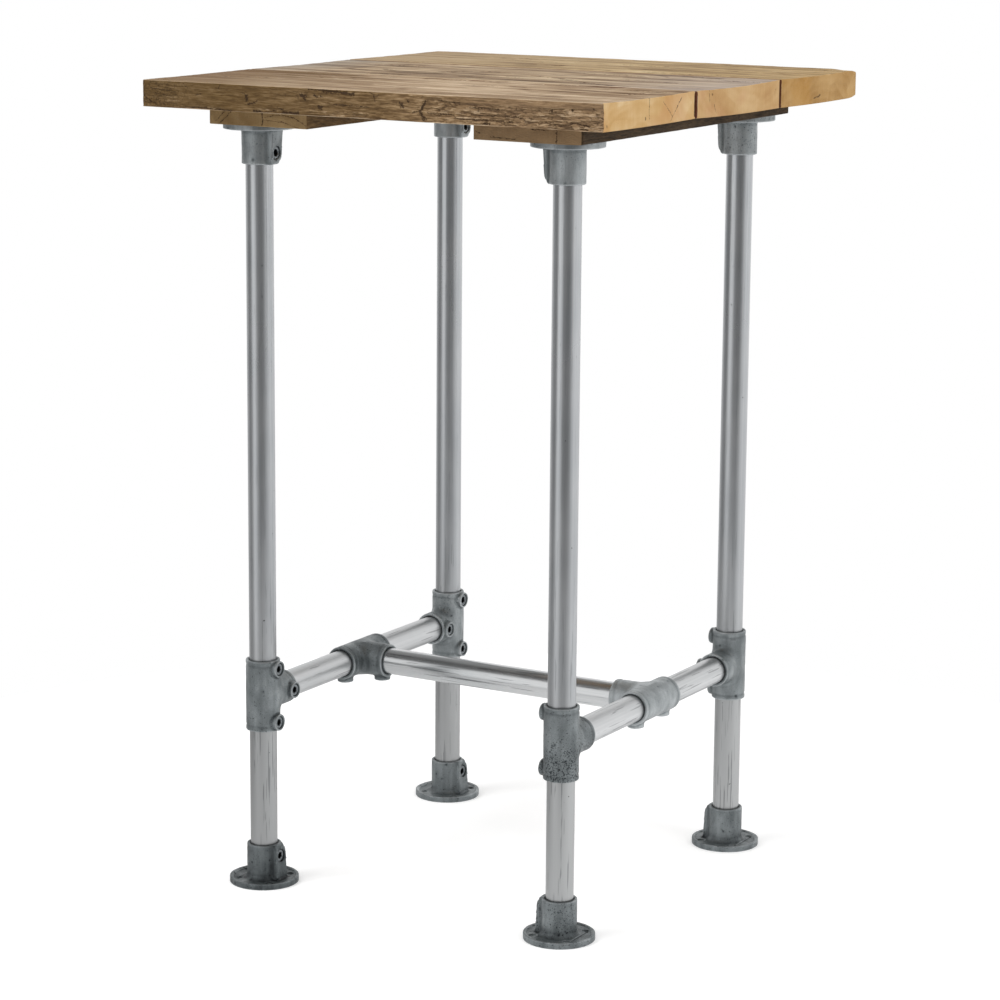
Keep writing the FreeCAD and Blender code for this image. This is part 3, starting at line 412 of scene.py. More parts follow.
# The section's points and outward directions are worked out for every ring at once. Then wear, torn fibre,
# grain ridges and cupping (a parabola across the width, most at the right end) are taken off as whole arrays.
def makePlank(name, facts):
    low, high = (np.array(corner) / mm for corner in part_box(name))
    swap = [0, 1, 2] if facts["along"] == "x" else [1, 0, 2]
    low, high = low[swap], high[swap]
    low[1] += facts["gap"][0]
    high[1] -= facts["gap"][1]
    length, width, thick = high - low
    seed = facts["seed"]
    names, share = sectionPlan(width, thick, facts)
    tips = np.array(plankGrain["endSteps"])
    inner = np.linspace(6.0, length - 6.0, int(round(length / facts["step"])))
    stations = np.concatenate([tips, inner, length - tips[::-1]])
    rings = len(stations)
    u = np.repeat(stations, len(names))
    kind, t = np.tile(names, rings), np.tile(share, rings)
    line = np.stack([u, 0 * u, 0 * u], 1)
    ft, rt, fu, ru = (base * (1 + 0.5 * latticeNoise(line, (38, 1, 1), seed + k)
                              + 0.3 * latticeNoise(line, (8, 1, 1), seed + 5 + k))
                      for k, base in enumerate(facts["round"]))
    sine, cosine = np.sin(t * math.pi / 2), np.cos(t * math.pi / 2)
    zero, one = 0 * t, 0 * t + 1
    layout = {
        "front": (zero, fu + t * (thick - fu - ft), -one, zero),
        "frontTop": (ft * (1 - cosine), thick - ft * (1 - sine), -cosine, sine),
        "top": (ft + (width - ft - rt) * t, zero + thick, zero, one),
        "rearTop": (width - rt * (1 - sine), thick - rt * (1 - cosine), sine, cosine),
        "rear": (zero + width, thick - rt - t * (thick - rt - ru), one, zero),
        "rearUnder": (width - ru * (1 - cosine), ru * (1 - sine), cosine, -sine),
        "under": (fu + (width - ru - fu) * t, zero, zero, -one),
        "frontUnder": (fu * (1 - sine), fu * (1 - cosine), -sine, -cosine),
    }
    v, w, outV, outW = (np.select([kind == k for k in layout], [layout[k][n] for k in layout]) for n in range(4))
    world = np.stack([u + low[0], v + low[1], w + low[2]], 1)

    sideRough = np.where(outV < 0, facts["roughSide"][0], facts["roughSide"][1]) * np.abs(outV)
    depth, standing, groove = tornFibre(world[:, 0], world[:, 2], seed)
    torn = np.zeros_like(u)
    for (fromU, toU), (fromW, toW), strength in facts["torn"]:
        edge = latticeNoise(world, (22, 30, 5), seed + 70) * 7
        inside = smoothStep((u - fromU + edge) / 22) * smoothStep((toU - u + edge) / 22)
        inside *= smoothStep((w - fromW + 1.5 + edge * 0.25) / 3) * smoothStep((toW - w + 1.5 + edge * 0.25) / 3)
        torn = np.maximum(torn, inside * strength)
    patches = smoothStep(latticeNoise(world, (42, 40, 7), seed + 71) * 1.8 - 0.35) * 0.25
    torn = np.maximum(torn, patches) * np.where(outV < 0, 1, 0.5) * (sideRough > 0.2) * smoothStep(np.abs(outV) * 1.4)
    wave, ridges = (layeredNoise(world, plankGrain[layers], seed) for layers in ("wave", "ridges"))
    sink = torn * depth + sideRough * np.clip(0.3 + wave * 0.5, 0, 1.2)
    ridges = ridges * np.minimum(1, (np.minimum(v, width - v) + 2) / 14)
    onTop = np.clip(outW, 0, 1)
    sink += onTop * np.clip(0.10 + ridges * 0.38, 0, 2) + np.clip(-outW, 0, 1) * 0.2
    if "top" in facts["marks"]:
        sink += onTop * strokeGrooves(world, facts["marks"]["top"])
    # the ends are eased: a quarter circle, larger beside the joints and towards the rear board's outer corner
    fromEnd, across = np.minimum(u, length - u), np.clip(v / width, 0, 1)
    flat, front, rear, corner = facts["endRound"]
    flat = flat + (corner - flat) * across ** 4
    bevel = flat + (np.where(outV < 0, front, rear) - flat) * outV ** 2
    sink += bevel - np.sqrt(np.maximum(bevel ** 2 - np.maximum(bevel - fromEnd, 0) ** 2, 0))
    v, w = v - outV * sink, w - outW * sink
    toEnd = 0.35 + 0.65 * smoothStep((u / length - 0.45) / 0.5)
    across = np.clip(v / width, 0, 1)
    hang = facts["cup"] * toEnd * (1 - (2 * across - 1) ** 2)
    drop = facts["edgeDrop"][0] * (1 - across) + facts["edgeDrop"][1] * across
    # the underside follows only where no batten holds it
    free = smoothStep((np.abs(u / length - 0.5) - 0.42) / 0.06)
    lift = w / thick
    w = w - lift * (hang + drop) - (1 - lift) * hang * 0.6 * free
    if "belly" in facts:
        # past the batten the underside sags towards the right end: so many millimetres at the front and rear
        sag = facts["belly"][0] * (1 - across) + facts["belly"][1] * across
        w = w - (1 - lift) * sag * smoothStep((u - length + 48) / 38)
    if "wane" in facts:
        # towards the right end the rear edge wears to a flat ellipse: so many millimetres wide and deep
        wide, deep = facts["wane"]
        toEdge = np.clip(1 - (width - v) / wide, 0, 1)
        w = w - (2 * lift - 1) * deep * (1 - np.sqrt(1 - toEdge ** 2)) * smoothStep((u - length + 36) / 32)
    grid = np.stack([u, v, w], 1).reshape(rings, len(names), 3)
    shades = {
        "joint": np.where(outV < 0, facts["gap"][0] > 0, facts["gap"][1] > 0), "sideShare": outV, "topShare": outW,
        # standing and groove reach the colour: splinters that stand out get painted light, the grooves painted shadow
        "torn": torn, "standing": standing - 0.5, "groove": groove * torn,
        # the rounded top edges, worn, which the colour paints paler as a painted highlight
        "worn": (kind == "frontTop") | (kind == "rearTop"),
    }
    return closePlank(name, facts, grid, shades, low, high)


# Each end is closed by rings that shrink to the middle height; a little noise stays on it as saw marks. Then the
# outer corners are rounded and the shades stored: they say where on the plank a point is.
def closePlank(name, facts, grid, shades, low, high):
    rings, around = grid.shape[:2]
    capCount = plankGrain["capRings"]
    width, thick = (high - low)[1:]
    keep = (1 - np.arange(capCount + 1) / capCount)[:, None]

    def cap(ring):
        v = np.clip(ring[None, :, 1], thick / 2 * (1 - keep), width - thick / 2 * (1 - keep))
        w = thick / 2 + (ring[None, :, 2] - thick / 2) * keep
        u = np.broadcast_to(ring[None, :, 0], v.shape).copy()
        at = np.stack([0 * v.ravel() + 3, v.ravel(), w.ravel()], 1)
        saw = layeredNoise(at, plankGrain["saw"], facts["seed"]).reshape(v.shape)
        inward = (0.25 + saw) * np.minimum(1, (1 - keep) * 6)
        return np.stack([u + np.where(ring[0, 0] < 1, inward, -inward), v, w], -1)

    whole = np.concatenate([cap(grid[0])[::-1], grid, cap(grid[-1])])
    capRows = np.zeros((capCount + 1, around))
    points = whole.reshape(-1, 3) + low
    if facts["outerCorner"]:
        points = roundOuterCorners(points, high, facts["outerCorner"])
    if facts["along"] == "y":
        points = points[:, [1, 0, 2]]
    if name == "batten_right":
        points = clipCorner(points, *(np.array(corner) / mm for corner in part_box(name)))
    piece = meshFromArrays(name + "_worn", points, ringFaces(len(whole), around))
    fromEnd = np.minimum(np.arange(rings), np.arange(rings)[::-1])
    onEnd = np.interp(fromEnd, [2, 6], [1.0, 0.0]) * np.where(np.arange(rings) < rings / 2, -1, 1)
    onSide = np.abs(shades["sideShare"].reshape(rings, around))
    onEnd = onEnd[:, None] * np.where(fromEnd[:, None] == 0, 1, 1 - 0.9 * onSide)
    storeShade(piece, "endShare", np.concatenate([capRows - 1, onEnd, capRows + 1]).ravel())
    for key, values in shades.items():
        storeShade(piece, key, np.concatenate([capRows, values.reshape(rings, around), capRows]).ravel())
    sealMesh(piece)
    return piece


# Seen from above, points beyond the corner's circle move onto it.
def roundOuterCorners(points, high, radius):
    for side in (-1, 1):
        centre = np.array([side * (abs(high[0]) - radius), high[1] - radius])
        offset = points[:, :2] - centre
        reach = np.linalg.norm(offset, axis=1)
        over = (offset[:, 0] * side > 0) & (offset[:, 1] > 0) & (reach > radius)
        points[over, :2] = centre + offset[over] * (radius / reach[over])[:, None]
    return points


# The right batten's outer front corner is sawn off along a slanting line.
def clipCorner(points, low, high, across=26.0, deep=7.0):
    normal = np.array([deep, -across]) / math.hypot(across, deep)
    past = (points[:, :2] - np.array([high[0] - across, low[1]])) @ normal
    points[:, :2] -= np.maximum(past, 0)[:, None] * normal
    return points


# Reclaimed softwood, rough sawn and left bare: matte, grey-brown where old and yellow where freshly cut. Colours
# run from dark grain to pale grain. Heart is where the year rings' middle lies. A tint is (from, to) in
# millimetres along the plank, its strength and its colour; it grows from the first place to the second.
plainLooks = {"end": "#6d5739 #86704f #9c8460", "oldEnd": "#4a3725 #7b6044", "topTints": [], "sideTints": []}
woodLooks = {
    "top_board_front": {
        "top": "#674e36 #9c8162 #bfa689 #d8c1a2", "side": "#3b2a1b #6b5233 #957a57 #c9b090",
        "end": "#cb9f61 #dab37b #e8c999", "warmEnd": "#cf9a68", "heart": (0, -250, 880),
        "topTints": [((-40, -240), 0.95, "#70542c"), ((-200, -300), 0.4, "#866850")],
        "sideTints": [((60, -200), 0.6, "#5d4725"), ((20, 200), 0.35, "#a3866a")]},
    "top_board_middle": {
        "top": "#5d4936 #998064 #bca486 #d4bd9b", "side": "#3f2b1c #6f5138 #8b6c4c #a78a66",
        "end": "#c09460 #cfa773 #dfbd8c", "warmEnd": "#c98f68", "heart": (0, 40, 1120),
        "topTints": [((120, 290), 0.6, "#aba19f"), ((-210, -300), 0.6, "#95928e")]},
    "top_board_rear": {
        "top": "#745c3e #a78c66 #c5aa80 #dbc499", "side": "#46301c #76583a #967752 #b3956c",
        "end": "#ab8149 #c29a63 #d3ae78", "warmEnd": "#bd8a3f", "heart": (0, 250, 850),
        "topTints": [((100, 300), 0.45, "#c09c62"), ((40, -260), 0.7, "#a48d73")]},
    "batten_left": {"top": "#4a3a28 #665039 #7d6448 #90775a", "side": "#4a3921 #6d5535 #866b45 #9b7f55",
                    "oldEnd": "#846a44 #b69a6f", "warmEnd": "#977850", "heart": (-150, 0, 1060)},
    "batten_right": {"top": "#40342a #55473a #665646 #7a6955", "side": "#30251a #463828 #594833 #6e5a42",
                     "oldEnd": "#725b40 #9e8362", "warmEnd": "#8f7150", "heart": (205, 0, 900)},
}

# Stretched noise for the wood: cells per millimetre along, across and up, shift, detail, roughness, and the
# noise that counts as none and as all.
woodPatterns = {
    "fine": (0.012, 0.35, 0.7, 1, 4.0, 0.6, 0.38, 0.62),         # single growth rings, about 3 mm apart
    "band": (0.0060, 0.085, 0.14, 9, 3.0, 0.6, 0.42, 0.58),      # bands of them, 12 mm
    "broad": (0.0036, 0.034, 0.07, 13, 3.0, 0.55, 0.37, 0.63),   # streaks 30 mm wide
    "blotch": (0.006, 0.012, 0.03, 17, 2.0, 0.5, 0.34, 0.66),    # weathering
    "fibre": (0.10, 1.3, 1.3, 23, 2.0, 0.5, 0.36, 0.64),         # fibres, under a millimetre
    "dark": (0.0085, 0.060, 0.3, 31, 2.0, 0.6, 0.34, 0.66),      # dark heartwood streaks
    "flow": (0.0022, 0.016, 0.05, 37, 1.5, 0.45, 0.34, 0.66),    # its contours are the year rings
    "sideFine": (0.045, 0.45, 0.45, 41, 5.0, 0.66, 0.40, 0.60),
    "sideBand": (0.010, 0.05, 0.10, 47, 3.0, 0.55, 0.34, 0.66),
    "endCloud": (0.02, 0.020, 0.028, 53, 2.0, 0.5, 0.34, 0.66),  # soft clouds on the sawn ends, 50 mm
    "endSaw": (0.3, 0.42, 0.03, 57, 2.0, 0.5, 0.34, 0.66),       # upright saw marks
    "endWarm": (0.02, 0.016, 0.022, 61, 1.0, 0.5, 0.34, 0.66),
}
# The face of each group of marks: attribute, its sign there, and the axis that doesn't count.
markFaces = {
    "x": {"side": ("sideShare", -1, 1), "top": ("topShare", 1, 2), "end": ("endShare", 1, 0)},
    "y": {"side": ("sideShare", 1, 0), "end": ("endShare", -1, 1)},
}


# Darkness of the marks: one where a point lies on a stroke, fading to nothing at the stroke's width. Distance
# is measured in the plane of the face alone, and noise stretches and shrinks it, so that the strokes crumble.
def strokeShade(add, place, crumble, facts):
    shade = 0.0
    for face, strokes in facts["marks"].items():
        attribute, sign, idle = markFaces[facts["along"]][face]
        flat = add("VectorMath MULTIPLY", [place, np.insert([1.0, 1.0], idle, 0)])
        mask = add("MapRange", [add("Attribute " + attribute, [], "Fac"), 0.35 * sign, 0.7 * sign])
        for *stroke, width in strokes:
            start, end = (Vector(np.insert(np.array(point, float), idle, 0)) for point in (stroke[:2], stroke[2:]))
            run = end - start
            offset = add("VectorMath SUBTRACT", [flat, start])
            share = add("VectorMath DOT_PRODUCT", [offset, run / max(run.length_squared, 1e-6)], 1)
            onLine = add("VectorMath SCALE", {0: run, "Scale": add("Clamp", [share])})
            away = add("Math MULTIPLY", [add("VectorMath DISTANCE", [offset, onLine], 1), crumble])
            # on the top the strokes are painted shade, at six tenths of full darkness
            dark = add("MapRange", [away, width, width * 0.35, 0.0, 1.0 if face != "top" else 0.6])
            shade = add("Math MAXIMUM", [shade, add("Math MULTIPLY", [dark, mask])])
    return shade


# Stretched noise gives the streaks and fibres; tints, torn splinters and strokes lie over them.
def woodMaterial(name, facts, looks):
    material, add = newMaterial("weathered_softwood_" + name)
    onBoard, seed = facts["along"] == "x", facts["seed"]
    top, side, end, oldEnd = (looks[key].split() for key in ("top", "side", "end", "oldEnd"))
    inMm, pattern = noisePatterns(add, [
        (key, (along, across, up) if onBoard else (across, along, up),
         (shift + seed, shift * 1.7, shift * 0.6), *rest)
        for key, (along, across, up, shift, *rest) in woodPatterns.items()])
    worn, torn, standing, groove, joint, sideShare, endShare = (add("Attribute " + key, [], "Fac") for key in (
        "worn", "torn", "standing", "groove", "joint", "sideShare", "endShare"))
    alongPlace = add("SeparateXYZ", [inMm], 0 if onBoard else 1)

    # the strokes wander by a few millimetres, and their edges fray
    placed = inMm
    for size, detail, reach in ((0.09, 3.0, (3.0, 5.0, 1.8)), (0.55, 2.0, (4.6, 2.6, 2.6))):
        wander = add("TexNoise", {"Vector": inMm, "Scale": size, "Detail": detail}, "Color")
        wander = add("VectorMath SUBTRACT", [wander, (0.5, 0.5, 0.5)])
        placed = add("VectorMath MULTIPLY_ADD", [wander, reach, placed])
    crumble = add("TexNoise", {"Vector": inMm, "Scale": 0.35, "Detail": 3.0, "Roughness": 0.7})
    strokes = strokeShade(add, placed, add("MapRange", [crumble, 0.38, 0.62, 0.5, 2.6]), facts)

    # top: broad and narrow streaks, with dark and pale year rings and dark heartwood lines
    tone = add("Math MULTIPLY", [pattern["broad"], 0.30])
    for key, weight in (("band", 0.20), ("fine", 0.28), ("blotch", 0.20)):
        tone = add("Math MULTIPLY_ADD", [pattern[key], weight, tone])
    rings = add("Math PINGPONG", [add("Math MULTIPLY", [pattern["flow"], 9.0]), 1.0])
    darkRing = add("MapRange", [rings, 0.14, 0.0, 0.0, -0.26])
    paleRing = add("MapRange", [rings, 0.84, 1.0, 0.0, 0.20])
    tone = add("Math", [tone, add("Math", [darkRing, paleRing])])
    colour = add("ValToRGB", [tone], 0, zip((0.16, 0.38, 0.6, 0.86), top))
    layers = [(add("MapRange", [pattern["dark"], 0.80, 1.0, 0.0, 0.6]), top[0])]
    for (start, stop), strength, tint in looks["topTints"]:
        share = add("MapRange", [alongPlace, start, stop, 0.0, strength])
        layers.append((add("Math MULTIPLY", [share, add("MapRange", [pattern["broad"], 0.0, 1.0, 0.45, 1.0])]), tint))
    # the rounded top edges mix towards the palest top colour: painted highlight
    for share, tint in layers + [(add("Math MULTIPLY", [worn, 0.35]), top[3])]:
        colour = add("Mix RGBA", {0: share, 6: colour, 7: tint}, 2)

    # sides: torn splinters that stand out are painted paler, a painted light, and the grooves and the lines between
    # flakes darker, a painted shadow; flakes 10 mm long and 2.6 mm high each have their own tone, most of all where
    # the fibre is torn
    flakePlace = add("VectorMath MULTIPLY", [placed, (0.10, 0.10, 0.38)])
    flakes = add("SeparateXYZ", [add("TexVoronoi", {"Vector": flakePlace, "Scale": 1.0}, "Color")])
    flaky = add("Math MULTIPLY_ADD", [torn, 0.75, 0.25])
    flakes, paintedSplinterLight = add("Math MULTIPLY", [flakes, flaky]), add("Math MULTIPLY", [torn, standing])
    sideTone = add("Math MULTIPLY_ADD", [pattern["sideFine"], 0.25, 0.07])
    for value, weight in ((pattern["sideBand"], 0.22), (pattern["fibre"], 0.22), (flakes, 0.36), (paintedSplinterLight, 0.64)):
        sideTone = add("Math MULTIPLY_ADD", [value, weight, sideTone])
    sideColour = add("ValToRGB", [sideTone], 0, zip((0.12, 0.4, 0.66, 1.0), side))
    layers = [(add("MapRange", [alongPlace, start, stop, 0.0, strength]), tint)
              for (start, stop), strength, tint in looks["sideTints"]]
    paintedFlakeShadow = add("TexVoronoi DISTANCE_TO_EDGE", {"Vector": flakePlace, "Scale": 1.0})
    paintedFlakeShadow = add("MapRange", [paintedFlakeShadow, 0.17, 0.04, 0.0, 0.75])
    for factor in (flaky, add("MapRange", [pattern["sideFine"], 0.75, 0.35])):
        paintedFlakeShadow = add("Math MULTIPLY", [paintedFlakeShadow, factor])
    layers += [(add("MapRange", [groove, 0.2, 0.8, 0.0, 0.5]), side[0]), (paintedFlakeShadow, side[0]),
               (add("Math MULTIPLY", [joint, 0.8]), "#5a2b1b")]
    if name == "top_board_front":
        # the old left end is finely checked across the grain
        checks = add("TexNoise", {"Vector": inMm, "Scale": 0.42, "Detail": 4.0, "Roughness": 0.7})
        checks = add("MapRange", [checks, 0.48, 0.60, 0.0, 0.8])
        layers.append((add("Math MULTIPLY", [add("MapRange", [alongPlace, -215.0, -285.0]), checks]), "#43331d"))
    for share, tint in layers:
        sideColour = add("Mix RGBA", {0: share, 6: sideColour, 7: tint}, 2)

    # ends: year rings are circles round the heart, spaced about six millimetres and a little uneven; the saw left
    # patches with straight edges. Calm yellow where freshly sawn, brown on the old ends
    endAxes = (0, 1, 1) if onBoard else (1, 0, 1)
    fromHeart = add("VectorMath SUBTRACT", [inMm, looks["heart"]])
    fromHeart = add("VectorMath LENGTH", [add("VectorMath MULTIPLY", [fromHeart, endAxes])], 1)
    fromHeart = add("Math MULTIPLY_ADD", [pattern["endCloud"], 14.0, fromHeart])
    yearRings = add("Math PINGPONG", [add("Math MULTIPLY", [fromHeart, 0.16]), 1.0])
    faceted = add("VectorMath MULTIPLY", [placed, [0.032 * axis for axis in endAxes]])
    facets = add("SeparateXYZ", [add("TexVoronoi", {"Vector": faceted, "Scale": 1.0}, "Color")])
    endTone = add("Math MULTIPLY", [pattern["endCloud"], 0.48])
    for value, weight in ((pattern["endSaw"], 0.10), (pattern["fibre"], 0.12), (yearRings, 0.13), (facets, 0.22)):
        endTone = add("Math MULTIPLY_ADD", [value, weight, endTone])
    endColour = add("ValToRGB", [endTone], 0, zip((0.1, 0.5, 0.95), end))
    warm = add("MapRange", [pattern["endWarm"], 0.6, 1.0, 0.0, 0.45])
    endColour = add("Mix RGBA", {0: warm, 6: endColour, 7: looks["warmEnd"]}, 2)
    oldColour = add("ValToRGB", [endTone], 0, zip((0.1, 0.9), oldEnd))

    # the fresh colour reaches a millimetre or two round the edges, unevenly
    uneven = add("MapRange", [pattern["endSaw"], 0.0, 1.0, 0.35, 0.9])
    strokes = add("Math MULTIPLY", [strokes, add("MapRange", [endShare, 0.5, 1.0, 0.88, 0.8])])
    for share, layer in ((add("MapRange", [add("Math ABSOLUTE", [sideShare]), 0.35, 0.8]), sideColour),
                         (add("MapRange", [endShare, uneven, 0.95]), endColour),
                         (add("MapRange", [endShare, add("Math MULTIPLY", [uneven, -1.0]), -0.95]), oldColour),
                         (strokes, "#352415")):
        colour = add("Mix RGBA", {0: share, 6: colour, 7: layer}, 2)

    height = add("Math MULTIPLY", [pattern["fine"], 0.5])
    for value, weight in ((pattern["fibre"], 0.35), (strokes, -1.6)):
        height = add("Math MULTIPLY_ADD", [value, weight, height])
    matte = add("MapRange", [tone, 0.1, 0.9, 0.85, 0.68])
    closeMaterial(add, height, 0.6, 0.7, {"Base Color": colour, "Roughness": matte, "Specular IOR Level": 0.25})
    return material


for group, plain, slotName in ((boards, plainBoard, "board_wood"), (battens, plainBatten, "batten_wood")):
    for plankName, ownFacts in group.items():
        plankFacts = {**plain, **ownFacts}
        plank = makePlank(plankName, plankFacts)
        wood = woodMaterial(plankName, plankFacts, {**plainLooks, **woodLooks[plankName]})
        standFor(plank, plankName, wood)
        print("plank:", plankName, len(plank.data.polygons), "faces")


# Each casting is the zero level of a distance formula: bars and blocks joined and cut with soft seams.
castSizes = {
    "voxel": 1.15,               # spacing of the even mesh
    "outer": 21.5, "bore": 17.15, "half": 45.0, "reach": 46.0, "web": 2.5, "webHole": 9.0, "branchFloor": 12.0,
    "bossRadius": 10.5, "bossFace": 26.0, "bossAlong": 34.0, "bossBranch": 35.0, "screwHole": 7.7,
    "plate": 43.5, "rimHigh": 8.0, "rimInner": 40.0, "floorHigh": 6.4, "high": 50.5, "seat": 5.0, "drain": 12.5,
    "hole": 3.0, "sink": 5.25, "holeOffset": 23.33, "screwHigh": 36.0, "padHalf": 11.0, "padFace": 26.0,
    "padFoot": 28.2, "recessFrom": 26.5, "recessDeep": 0.9, "firstSeed": 101,
}


# Distance to a bar along an axis, centred on it: the larger of its radial and end distances, rounded at the rim.
def roundBar(x, y, z, axis, radius, low, high, rim):
    along, *others = ((x, y, z), (y, z, x), (z, x, y))[axis]
    radial = np.hypot(*others) - radius + rim
    ends = np.abs(along - (low + high) / 2) - (high - low) / 2 + rim
    return np.minimum(np.maximum(radial, ends), 0) + np.hypot(np.maximum(radial, 0), np.maximum(ends, 0)) - rim


# Both shapes, with a fillet of about the soft length.
def join(first, second, soft):
    share = np.clip(0.5 + 0.5 * (second - first) / soft, 0, 1)
    return second * (1 - share) + first * share - soft * share * (1 - share)


# The first shape without the second, with a rounded edge.
def cut(first, second, soft):
    return -join(-first, second, soft)


# A mouth opens by a small bevel in its last stretch.
def mouthBevel(along, end, size=1.5):
    return np.clip((along - end + size) / size, 0, 1) * 0.9


def teeShape(p):
    s = castSizes
    x, y, z = p.T
    bosses = ((0, s["bossAlong"]), (0, -s["bossAlong"]), (s["bossBranch"], 0))
    shape = join(roundBar(x, y, z, 2, s["outer"], -s["half"], s["half"], 1.4),
                 roundBar(x, y, z, 1, s["outer"], 0, s["reach"], 1.4), 7.0)
    for along, height in bosses:
        shape = join(shape, roundBar(x, y - along, z - height, 0, s["bossRadius"], 0, s["bossFace"], 1.4), 2.2)
    barrel = np.hypot(x, y) - s["bore"] - mouthBevel(np.abs(z), s["half"])
    branch = np.hypot(x, z) - s["bore"] - mouthBevel(y, s["reach"])
    for hole in (np.maximum(barrel, s["web"] - np.abs(z)), np.hypot(x, y) - s["webHole"],
                 np.maximum(branch, s["branchFloor"] - y)):
        shape = cut(shape, hole, 0.5)
    for along, height in bosses:
        hole = np.hypot(y - along, z - height) - s["screwHole"] - mouthBevel(x, s["bossFace"], 0.9) * 0.6
        shape = cut(shape, np.maximum(hole, -x), 0.5)
    return shape


def flangeShape(p):
    s = castSizes
    x, y, z = p.T
    radial = np.hypot(x, y)
    plate = roundBar(x, y, z, 2, s["plate"], 0, s["rimHigh"], 0.9)
    plate = cut(plate, np.maximum(radial - s["rimInner"], s["floorHigh"] - z), 1.4)
    chord = np.maximum(x + s["recessFrom"], radial - s["rimInner"] + 1.2)
    plate = cut(plate, np.maximum(chord, s["floorHigh"] - s["recessDeep"] - z), 0.6)
    shape = join(plate, roundBar(x, y, z, 2, s["outer"], 0, s["high"], 1.4), 7.0)
    # the pad of the set screw leans in from the plate up to the screw
    lean = s["padFoot"] + (s["padFace"] - s["padFoot"]) * np.clip(z / s["screwHigh"], 0, 1)
    face = x - lean + np.maximum((z - s["screwHigh"] - 6) * 0.42, 0)
    pad = np.maximum(np.maximum(face, np.abs(y) - s["padHalf"]), np.maximum(-x, -z))
    shape = join(shape, np.maximum(pad, z - s["high"] + 0.4), 3.0)
    socket = radial - s["bore"] - mouthBevel(z, s["high"])
    holes = [np.maximum(socket, s["seat"] - z), radial - s["drain"],
             np.maximum(np.hypot(y, z - s["screwHigh"]) - s["screwHole"], -x)]
    widen = np.clip(z - (s["floorHigh"] - (s["sink"] - s["hole"])), 0, s["sink"] - s["hole"])
    for sideX, sideY in ((-1, -1), (-1, 1), (1, -1), (1, 1)):
        away = np.hypot(x - sideX * s["holeOffset"], y - sideY * s["holeOffset"])
        holes.append(away - s["hole"] - widen)
    for hole in holes:
        shape = cut(shape, hole, 0.5)
    return np.maximum(shape, -z)


# Points move onto the zero level along the formula's slope, in a few rounds. The sum of second differences
# there is the bend: positive on outer edges, negative in creases.
def pullToShape(points, shape):
    step = np.eye(3) * 0.05
    for _ in range(6):
        value = shape(points)
        slope = np.stack([(shape(points + step[k]) - shape(points - step[k])) / 0.1 for k in range(3)], 1)
        size = np.maximum((slope ** 2).sum(1), 0.25)
        points = points - np.clip((value / size)[:, None] * slope, -1.0, 1.0)
    wide = np.eye(3) * 1.1
    bend = sum(shape(points + wide[k]) + shape(points - wide[k]) - 2 * shape(points) for k in range(3)) / 1.21
    return points, slope / np.maximum(np.linalg.norm(slope, axis=1), 1e-6)[:, None], bend


# A merged copy of a frame node, remeshed evenly; gives its points in millimetres and its faces.
def evenMesh(nodeName):
    worker = addObject("castWorker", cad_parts[nodeName].data.copy())
    mergePoints(worker, 0.01)
    remesh = worker.modifiers.new("even", "REMESH")
    remesh.mode = "VOXEL"
    remesh.voxel_size = castSizes["voxel"] * mm
    bpy.ops.object.modifier_apply(modifier=remesh.name)
    points = np.zeros(len(worker.data.vertices) * 3)
    worker.data.vertices.foreach_get("co", points)
    corners = np.zeros(len(worker.data.loops), np.int64)
    worker.data.loops.foreach_get("vertex_index", corners)
    print("even mesh of", nodeName, len(worker.data.vertices), "points")
    bpy.data.objects.remove(worker)
    return points.reshape(-1, 3) / mm, corners.reshape(-1, 4)


def nodeMiddle(nodeName):
    return np.mean(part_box(nodeName), axis=0) / mm


# Where each leg, rail and fitting stands, read from the frame. A fitting's turn lists where its own
# three axes point.
legAxis = {corner: nodeMiddle("lower_leg_" + corner) for corner in cornerNames}
railHigh, frameDeep = nodeMiddle("cross_rail")[2], nodeMiddle("cross_rail")[1]
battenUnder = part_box("batten_left")[0][2] / mm
right, left, back, front, up, down = (1, 0, 0), (-1, 0, 0), (0, 1, 0), (0, -1, 0), (0, 0, 1), (0, 0, -1)
legTeeTurns = {"front_left": (right, back, up), "front_right": (left, back, down),
               "rear_right": (left, front, up), "rear_left": (right, front, down)}
fittings = {}
for corner in cornerNames:
    legX, legY, _ = legAxis[corner]
    onLeft = corner.endswith("left")
    fittings["leg_tee_" + corner] = ("tee", (legX, legY, railHigh), legTeeTurns[corner])
    footTurn = (right, back, up) if onLeft else (left, front, up)
    topTurn = (right, front, down) if onLeft else (left, back, down)
    fittings["foot_flange_" + corner] = ("flange", (legX, legY, 0), footTurn)
    fittings["top_flange_" + corner] = ("flange", (legX, legY, battenUnder), topTurn)
for side, turn in (("left", (down, right, front)), ("right", (down, left, back))):
    fittings["rail_tee_" + side] = ("tee", (legAxis["front_" + side][0], frameDeep, railHigh), turn)

